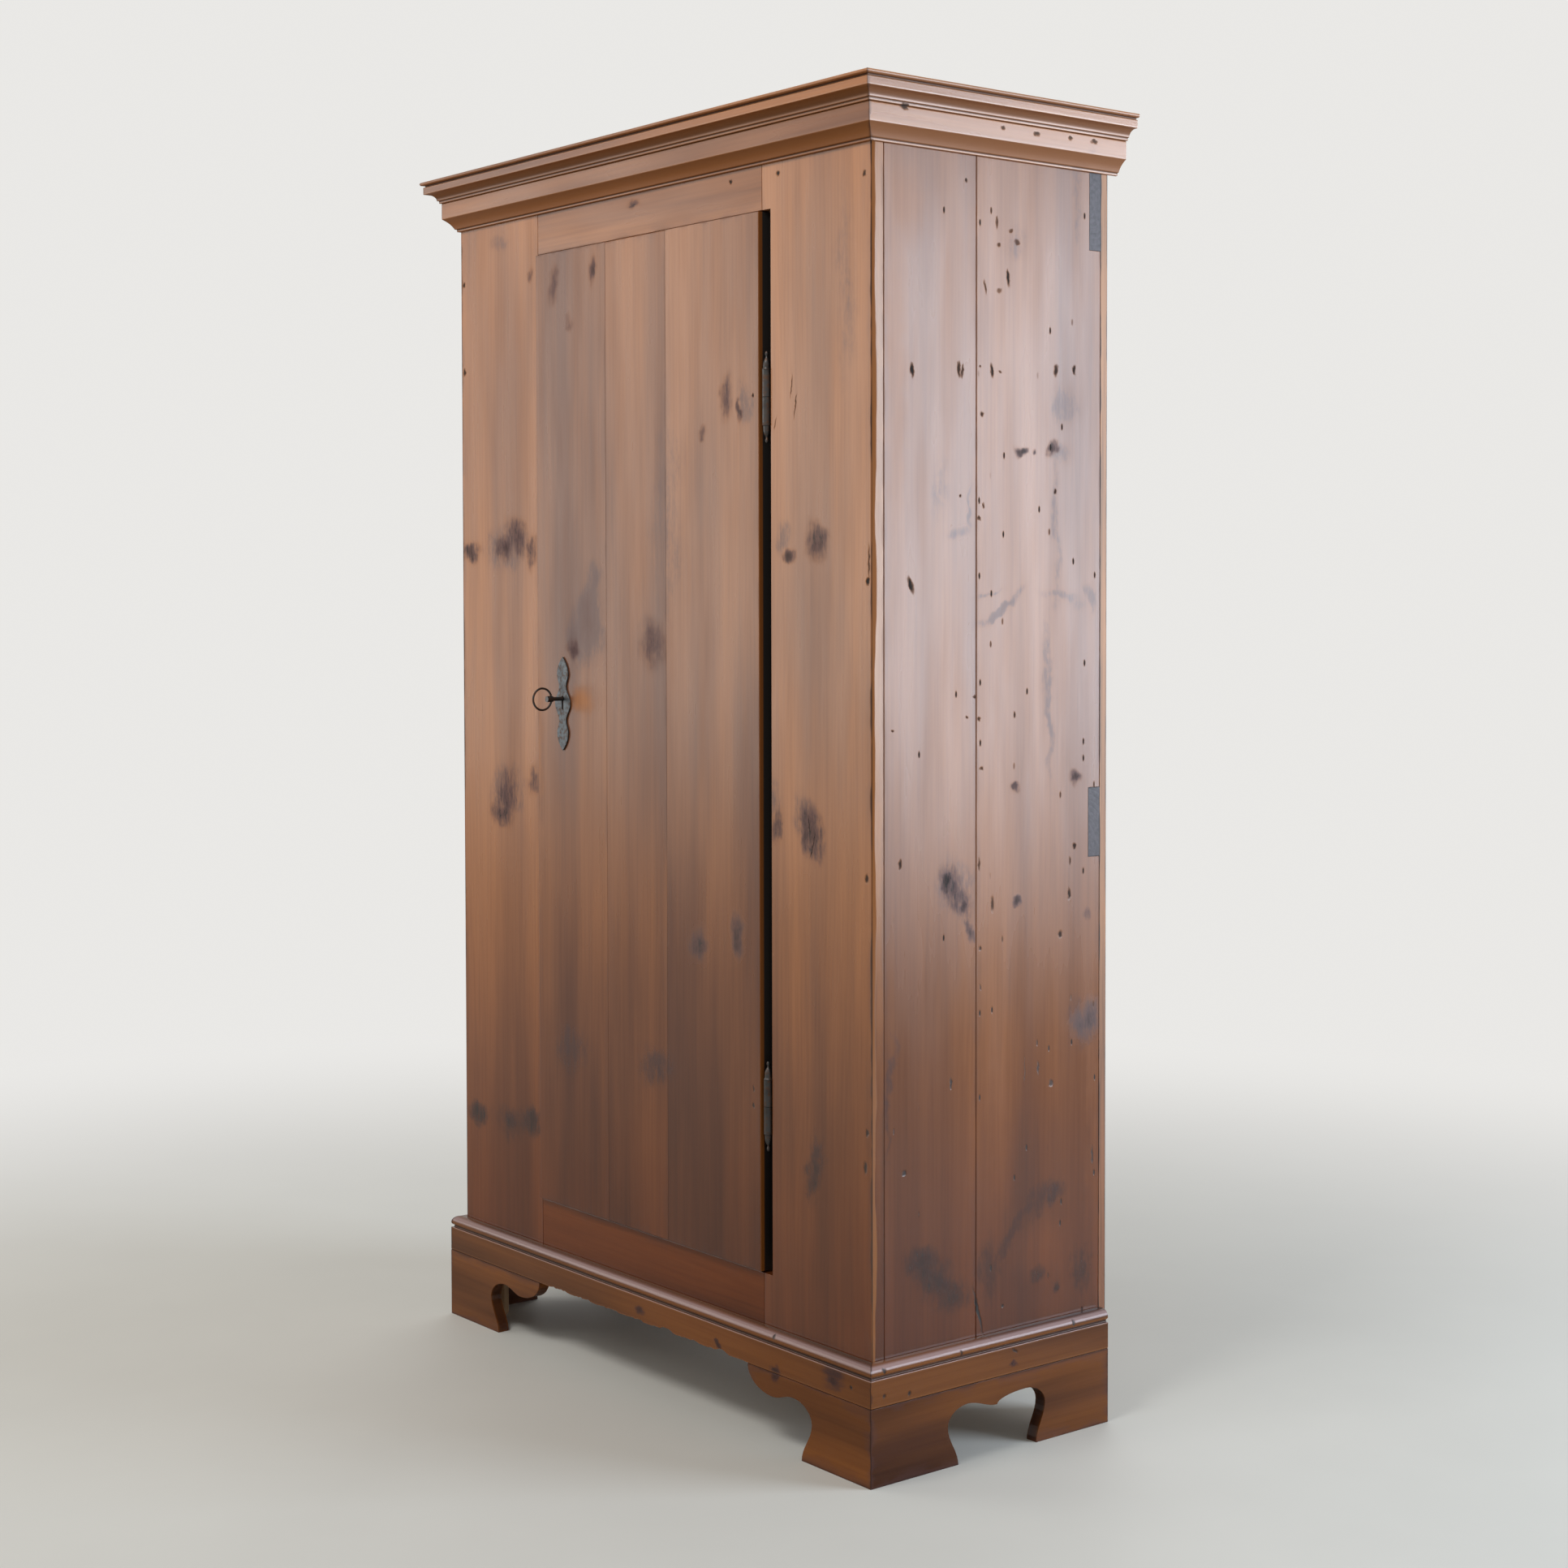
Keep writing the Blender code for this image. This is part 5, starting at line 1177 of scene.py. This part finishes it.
def finer(points, steps):
    """A profile with each stretch cut into even steps of a smooth curve through its points."""
    points = np.array(points, float)
    padded = np.vstack([points[:1], points, points[-1:]])
    t = np.linspace(0, 1, steps, endpoint=False)[None, :, None]
    a, b, c, d = (padded[k : len(padded) - 3 + k][:, None] for k in range(4))
    curve = 0.5 * (
        2 * b + (c - a) * t + (2 * a - 5 * b + 4 * c - d) * t**2 + (3 * b - a - 3 * c + d) * t**3
    )
    return np.vstack([curve.reshape(-1, 2), points[-1:]])


# Operators


class CUPBOARD_OT_dress_door(Operator):
    """Wood for the door's boards and its battens"""

    bl_idname = "cupboard.dress_door"
    bl_label = "Door"

    def execute(self, context):
        wood, wear = context.scene.cupboard_wood, context.scene.cupboard_wear
        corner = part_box("door_board_hinge_side")[1].x, FRONT_Y
        for node, lean, gloss in (
            ("door_board_lock_side", 0.30, 0.31),
            ("door_board_middle", 0.28, 0.33),
            ("door_board_hinge_side", 0.25, 0.38),
        ):
            board = Board(node, "Z", "Y")
            material = waxed_pine(
                board, wood.honey, wood.brown, lean, edge=0.3, ring_depth=0.06, gloss=gloss,
                slot=corner,
            )
            soften(dress(node, material), wear.arris * 0.6)
        for node in ("door_batten_upper", "door_batten_lower", "door_stop_top"):
            dress(node, bare_pine(Board(node, "X", "Y")))
        return {"FINISHED"}


class CUPBOARD_OT_dress_frame(Operator):
    """Wood for the stiles and rails round the door"""

    bl_idname = "cupboard.dress_frame"
    bl_label = "Face frame"

    def execute(self, context):
        wood, wear = context.scene.cupboard_wood, context.scene.cupboard_wear
        for node, grain, lean, gloss in (
            ("front_stile_left", "Z", 0.62, 0.28),
            ("front_stile_right", "Z", 0.66, 0.44),
            ("front_rail_top", "X", 0.38, 0.32),
            ("front_rail_bottom", "X", 0.48, 0.2),
        ):
            board = Board(node, grain, "Y")
            material = waxed_pine(
                board, wood.honey, wood.brown, lean, edge=0.42, ring_depth=0.08, gloss=gloss,
                arris=grain == "Z",
            )
            soften(dress(node, material), wear.arris / 2)
        return {"FINISHED"}


class CUPBOARD_OT_dress_sides(Operator):
    """Wood for the boards of both sides"""

    bl_idname = "cupboard.dress_sides"
    bl_label = "Sides"

    def execute(self, context):
        wood, wear = context.scene.cupboard_wood, context.scene.cupboard_wear
        for side in ("right", "left"):
            for end, lean, specks, haze in (("front", 0.40, 0.05, 0.12), ("rear", 0.38, 0.2, 0.36)):
                board = Board(f"side_{side}_{end}_board", "Z", "X")
                material = waxed_pine(
                    board, wood.honey, wood.brown, lean, edge=0.28, ring_depth=0.05, gloss=0.37,
                    specks=specks, haze_depth=haze, contrast=0.6,
                )
                soften(dress(board.node, material), wear.arris / 3)
        return {"FINISHED"}


class CUPBOARD_OT_dress_inside(Operator):
    """Bare wood for the back, the shelves, the top and bottom boards and the blocks"""

    bl_idname = "cupboard.dress_inside"
    bl_label = "Back and inside"

    def execute(self, context):
        wood = context.scene.cupboard_wood
        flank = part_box("side_right_rear_board")[1].x - 0.004
        for index in range(1, 5):
            board = Board(f"back_board_{index}", "Z", "Y")
            dress(board.node, bare_pine(board, flank, wood.rubbed, 0.4))
        for level in ("top", "middle", "bottom"):
            board = Board(f"back_rail_{level}", "X", "Y")
            dress(board.node, bare_pine(board, flank, wood.end_grain, 0.3))
        for level in ("lower", "middle", "upper"):
            dress(f"shelf_{level}", bare_pine(Board(f"shelf_{level}", "X", "Z")))
            for side in ("left", "right"):
                node = f"shelf_cleat_{level}_{side}"
                dress(node, bare_pine(Board(node, "Y", "X")))
        for node in ("bottom_board", "top_board_front", "top_board_rear"):
            dress(node, bare_pine(Board(node, "X", "Z")))
        for end in ("front", "rear"):
            for side in ("left", "right"):
                node = f"corner_block_{end}_{side}"
                dress(node, bare_pine(Board(node, "Z", "X")))
        return {"FINISHED"}


class CUPBOARD_OT_dress_cornice(Operator):
    """Crown and frieze mouldings along the front and both sides"""

    bl_idname = "cupboard.dress_cornice"
    bl_label = "Cornice"

    def execute(self, context):
        wood = context.scene.cupboard_wood
        finish = {"front": (0.4, 0.38), "right": (1.0, 0.8), "left": (0.7, 0.4)}
        for seed, (name, outline_of) in enumerate(
            (("cornice_crown", crown_outline), ("cornice_frieze", frieze_outline))
        ):
            for side, (lean, gloss) in finish.items():
                node = f"{name}_{side}"
                material = waxed_pine(
                    run_board(node), wood.honey, wood.brown, lean, edge=0.8, ring_depth=0.03,
                    gloss=gloss, moulded=True,
                )
                moulding_run(node, outline_of, material, seed * 3 + len(side))
        return {"FINISHED"}


class CUPBOARD_OT_dress_base(Operator):
    """Base moulding along the front and both sides"""

    bl_idname = "cupboard.dress_base"
    bl_label = "Base moulding"

    def execute(self, context):
        wood, wear = context.scene.cupboard_wood, context.scene.cupboard_wear
        for side in ("front", "right", "left"):
            node = f"base_moulding_{side}"
            lean, chips = (0.26, wear.chip) if side == "front" else (0.0, 0.0)
            material = waxed_pine(
                run_board(node), wood.plinth_light, wood.plinth_dark, lean, edge=0.9,
                ring_depth=0.05, gloss=0.17, moulded=True, foot_shade_depth=0.5,
            )
            moulding_run(node, base_outline, material, 9 + len(side), chips, 1.0)
        return {"FINISHED"}


class CUPBOARD_OT_dress_plinth(Operator):
    """Wood for the sawn brackets and side skirts"""

    bl_idname = "cupboard.dress_plinth"
    bl_label = "Plinth"

    def execute(self, context):
        wood, wear = context.scene.cupboard_wood, context.scene.cupboard_wear
        for side, front_lean in (("right", 0.37), ("left", 0.46)):
            for node, grain, face, lean in (
                (f"bracket_front_{side}", "X", "Y", front_lean),
                (f"side_skirt_{side}", "Y", "X", 0.22),
            ):
                board = Board(node, grain, face)
                material = waxed_pine(
                    board, wood.plinth_light, wood.plinth_dark, lean, edge=0.8, ring_depth=0.12,
                    gloss=0.14, foot_shade_depth=0.5,
                )
                soften(dress(node, material), wear.arris)
        return {"FINISHED"}


class CUPBOARD_OT_dress_hinges(Operator):
    """Iron for the hinges, with finer pins"""

    bl_idname = "cupboard.dress_hinges"
    bl_label = "Hinges"

    def execute(self, context):
        iron = context.scene.cupboard_iron
        metal = old_iron("hinge iron", iron.black, 0.42)
        for level in ("upper", "lower"):
            for leaf in ("door_leaf", "frame_leaf"):
                dress(f"hinge_{level}_{leaf}", metal)
            node = f"hinge_{level}_pin"
            low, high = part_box(node)
            middle = (low + high) / 2
            half = (high.z - low.z) / 2
            place, radius = finer(FINIAL_SHARES, 4).T
            finial = np.column_stack((
                np.maximum(radius, TIP_SHARE) * iron.knuckle, half - place * iron.finial
            ))
            foot = iron.knuckle * PIN_SHARE, half - iron.finial + WALL_GAP
            top = np.vstack((finial, foot))
            bottom = top[::-1] * (1, -1)
            vertices, faces = turned_piece(np.vstack((top, bottom)), middle)
            body = frame["nodes"][node]["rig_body"]
            new_piece(f"{node}_turned", vertices.tolist(), faces, metal, body, node)
        return {"FINISHED"}


class CUPBOARD_OT_dress_lock(Operator):
    """Iron for the keyhole's plate, the lock's case and its bolt"""

    bl_idname = "cupboard.dress_lock"
    bl_label = "Lock"

    def execute(self, context):
        iron = context.scene.cupboard_iron
        soften(dress("escutcheon", old_iron("plate iron", iron.plate, 0.5)), 0.0005)
        worn = old_iron("lock iron", iron.plate, 0.45)
        dress("lock_case", worn)
        dress("lock_bolt", worn)
        return {"FINISHED"}


class CUPBOARD_OT_dress_key(Operator):
    """Iron for the key"""

    bl_idname = "cupboard.dress_key"
    bl_label = "Key"

    def execute(self, context):
        iron = context.scene.cupboard_iron
        dress("key", old_iron("key iron", iron.black, 0.38))
        return {"FINISHED"}


class CUPBOARD_OT_set_stage(Operator):
    """Floor, backdrop, lights and camera"""

    bl_idname = "cupboard.set_stage"
    bl_label = "Stage"

    def execute(self, context):
        stage = context.scene.cupboard_stage
        context.scene.view_settings.view_transform = "Standard"
        lay_floor(stage.floor, stage.backdrop)
        light_world(context.scene, stage.backdrop, stage.fill)
        for name, (size, place, target, hue) in LAMPS.items():
            add_light(f"{name} light", getattr(stage, name), size, place, target, hue)
        set_camera(context.scene)
        return {"FINISHED"}


def shown_over(recipe, usual, backdrop, share=1.0):
    """A shader, and over it the backdrop's light for a share of what camera and gloss see."""
    path = recipe.add("ShaderNodeLightPath").outputs
    rays = (path[f"Is {kind} Ray"] for kind in ("Camera", "Glossy", "Transmission"))
    mixed = recipe.add("ShaderNodeMixShader")
    recipe.feed(mixed.inputs[0], recipe.times(recipe.most(rays), share))
    recipe.feed(mixed.inputs[1], usual)
    recipe.feed(mixed.inputs[2], backdrop)
    return mixed.outputs[0]


def lay_floor(shade, backdrop):
    """A pale floor that takes the object's shadow and fades into the backdrop far off."""
    bpy.ops.mesh.primitive_plane_add(size=FLOOR_SIZE)
    floor = bpy.context.object
    floor.name = "floor"
    material, recipe, shader, point = new_material("floor", 0.6)
    cloud = recipe.noise(point, (1.3, 1.3, 1.3), 4.0, 0.6)
    pale = recipe.shaded(recipe.spread(cloud, 0.3, 0.7, 0.0, 0.12), shade, FLOOR_SHADE)
    recipe.feed(shader.inputs["Base Color"], pale)
    away = recipe.vector("LENGTH", recipe.vector("SUBTRACT", point, FLOOR_MIDDLE))
    glow = recipe.add("ShaderNodeEmission", {"Color": (*backdrop, 1.0)}).outputs[0]
    surface = shown_over(recipe, shader.outputs[0], glow, recipe.spread(away, *FLOOR_FADE))
    recipe.feed(material.node_tree.nodes["Material Output"].inputs["Surface"], surface)
    floor.data.materials.append(material)


def light_world(scene, backdrop, fill):
    """Even light for the object, and the backdrop's colour for what the camera and gloss see."""
    world = bpy.data.worlds.new("studio")
    world.use_nodes = True
    scene.world = world
    recipe = Recipe(world.node_tree)
    light = world.node_tree.nodes["Background"]
    light.inputs["Color"].default_value = DAYLIGHT
    light.inputs["Strength"].default_value = fill
    seen = recipe.add("ShaderNodeBackground", {"Color": (*backdrop, 1.0), "Strength": 1.0})
    surface = shown_over(recipe, light.outputs[0], seen.outputs[0])
    recipe.feed(world.node_tree.nodes["World Output"].inputs["Surface"], surface)


def add_light(name, watts, size, place, target, hue):
    """A soft rectangular lamp that looks at its target and doesn't show."""
    lamp = bpy.data.lights.new(name, "AREA")
    lamp.shape = "RECTANGLE"
    lamp.size, lamp.size_y = size
    lamp.energy = watts
    lamp.color = hue
    light = bpy.data.objects.new(name, lamp)
    light.location = place
    light.rotation_euler = (Vector(target) - Vector(place)).to_track_quat("-Z", "Y").to_euler()
    light.visible_camera = False
    bpy.context.scene.collection.objects.link(light)


def set_camera(scene):
    """The camera's yaw, pitch and roll about its own axes, with the shift of the framing."""
    yaw, pitch, roll = CAMERA_YAW, CAMERA_PITCH, CAMERA_ROLL
    level = Vector((-math.sin(yaw), math.cos(yaw), 0))
    right = Vector((math.cos(yaw), math.sin(yaw), 0))
    up = Vector((0, 0, 1))
    ahead = math.cos(pitch) * level + math.sin(pitch) * up
    above = -math.sin(pitch) * level + math.cos(pitch) * up
    across = math.cos(roll) * right + math.sin(roll) * above
    upright = -math.sin(roll) * right + math.cos(roll) * above
    turned = Matrix((across, upright, -ahead)).transposed().to_4x4()
    data = bpy.data.cameras.new("camera")
    data.lens = CAMERA_LENS
    data.sensor_width = CAMERA_SENSOR
    data.shift_y = (MIDDLE_ROW - PICTURE / 2) / PICTURE
    camera = bpy.data.objects.new("camera", data)
    camera.matrix_world = Matrix.Translation(CAMERA_PLACE) @ turned
    scene.collection.objects.link(camera)
    scene.camera = camera


class CUPBOARD_PT_looks(Panel):
    """Settings and steps of the cupboard"""

    bl_label = "Pine cupboard"
    bl_idname = "CUPBOARD_PT_looks"
    bl_space_type = "VIEW_3D"
    bl_region_type = "UI"
    bl_category = "Cupboard"

    def draw(self, context):
        for group in SETTINGS:
            box = self.layout.box()
            settings = getattr(context.scene, group)
            for name in settings.bl_rna.properties.keys():
                if name not in ("rna_type", "name"):
                    box.prop(settings, name)
        for operator in OPERATORS:
            self.layout.operator(operator.bl_idname)


SETTINGS = {
    "cupboard_wood": CupboardWood,
    "cupboard_iron": CupboardIron,
    "cupboard_wear": CupboardWear,
    "cupboard_stage": CupboardStage,
}
OPERATORS = (
    CUPBOARD_OT_set_stage,
    CUPBOARD_OT_dress_sides,
    CUPBOARD_OT_dress_frame,
    CUPBOARD_OT_dress_door,
    CUPBOARD_OT_dress_inside,
    CUPBOARD_OT_dress_cornice,
    CUPBOARD_OT_dress_base,
    CUPBOARD_OT_dress_plinth,
    CUPBOARD_OT_dress_hinges,
    CUPBOARD_OT_dress_lock,
    CUPBOARD_OT_dress_key,
)
CLASSES = (*SETTINGS.values(), *OPERATORS, CUPBOARD_PT_looks)


def register():
    """Makes the classes and the scene's settings known."""
    for item in CLASSES:
        bpy.utils.register_class(item)
    for name, group in SETTINGS.items():
        setattr(bpy.types.Scene, name, PointerProperty(type=group))


def unregister():
    """Takes the scene's settings and the classes back."""
    for name in SETTINGS:
        delattr(bpy.types.Scene, name)
    for item in reversed(CLASSES):
        bpy.utils.unregister_class(item)


def main():
    """Registers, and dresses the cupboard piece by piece."""
    register()
    for operator in OPERATORS:
        group, action = operator.bl_idname.split(".")
        getattr(getattr(bpy.ops, group), action)()


if __name__ == "__main__":
    main()
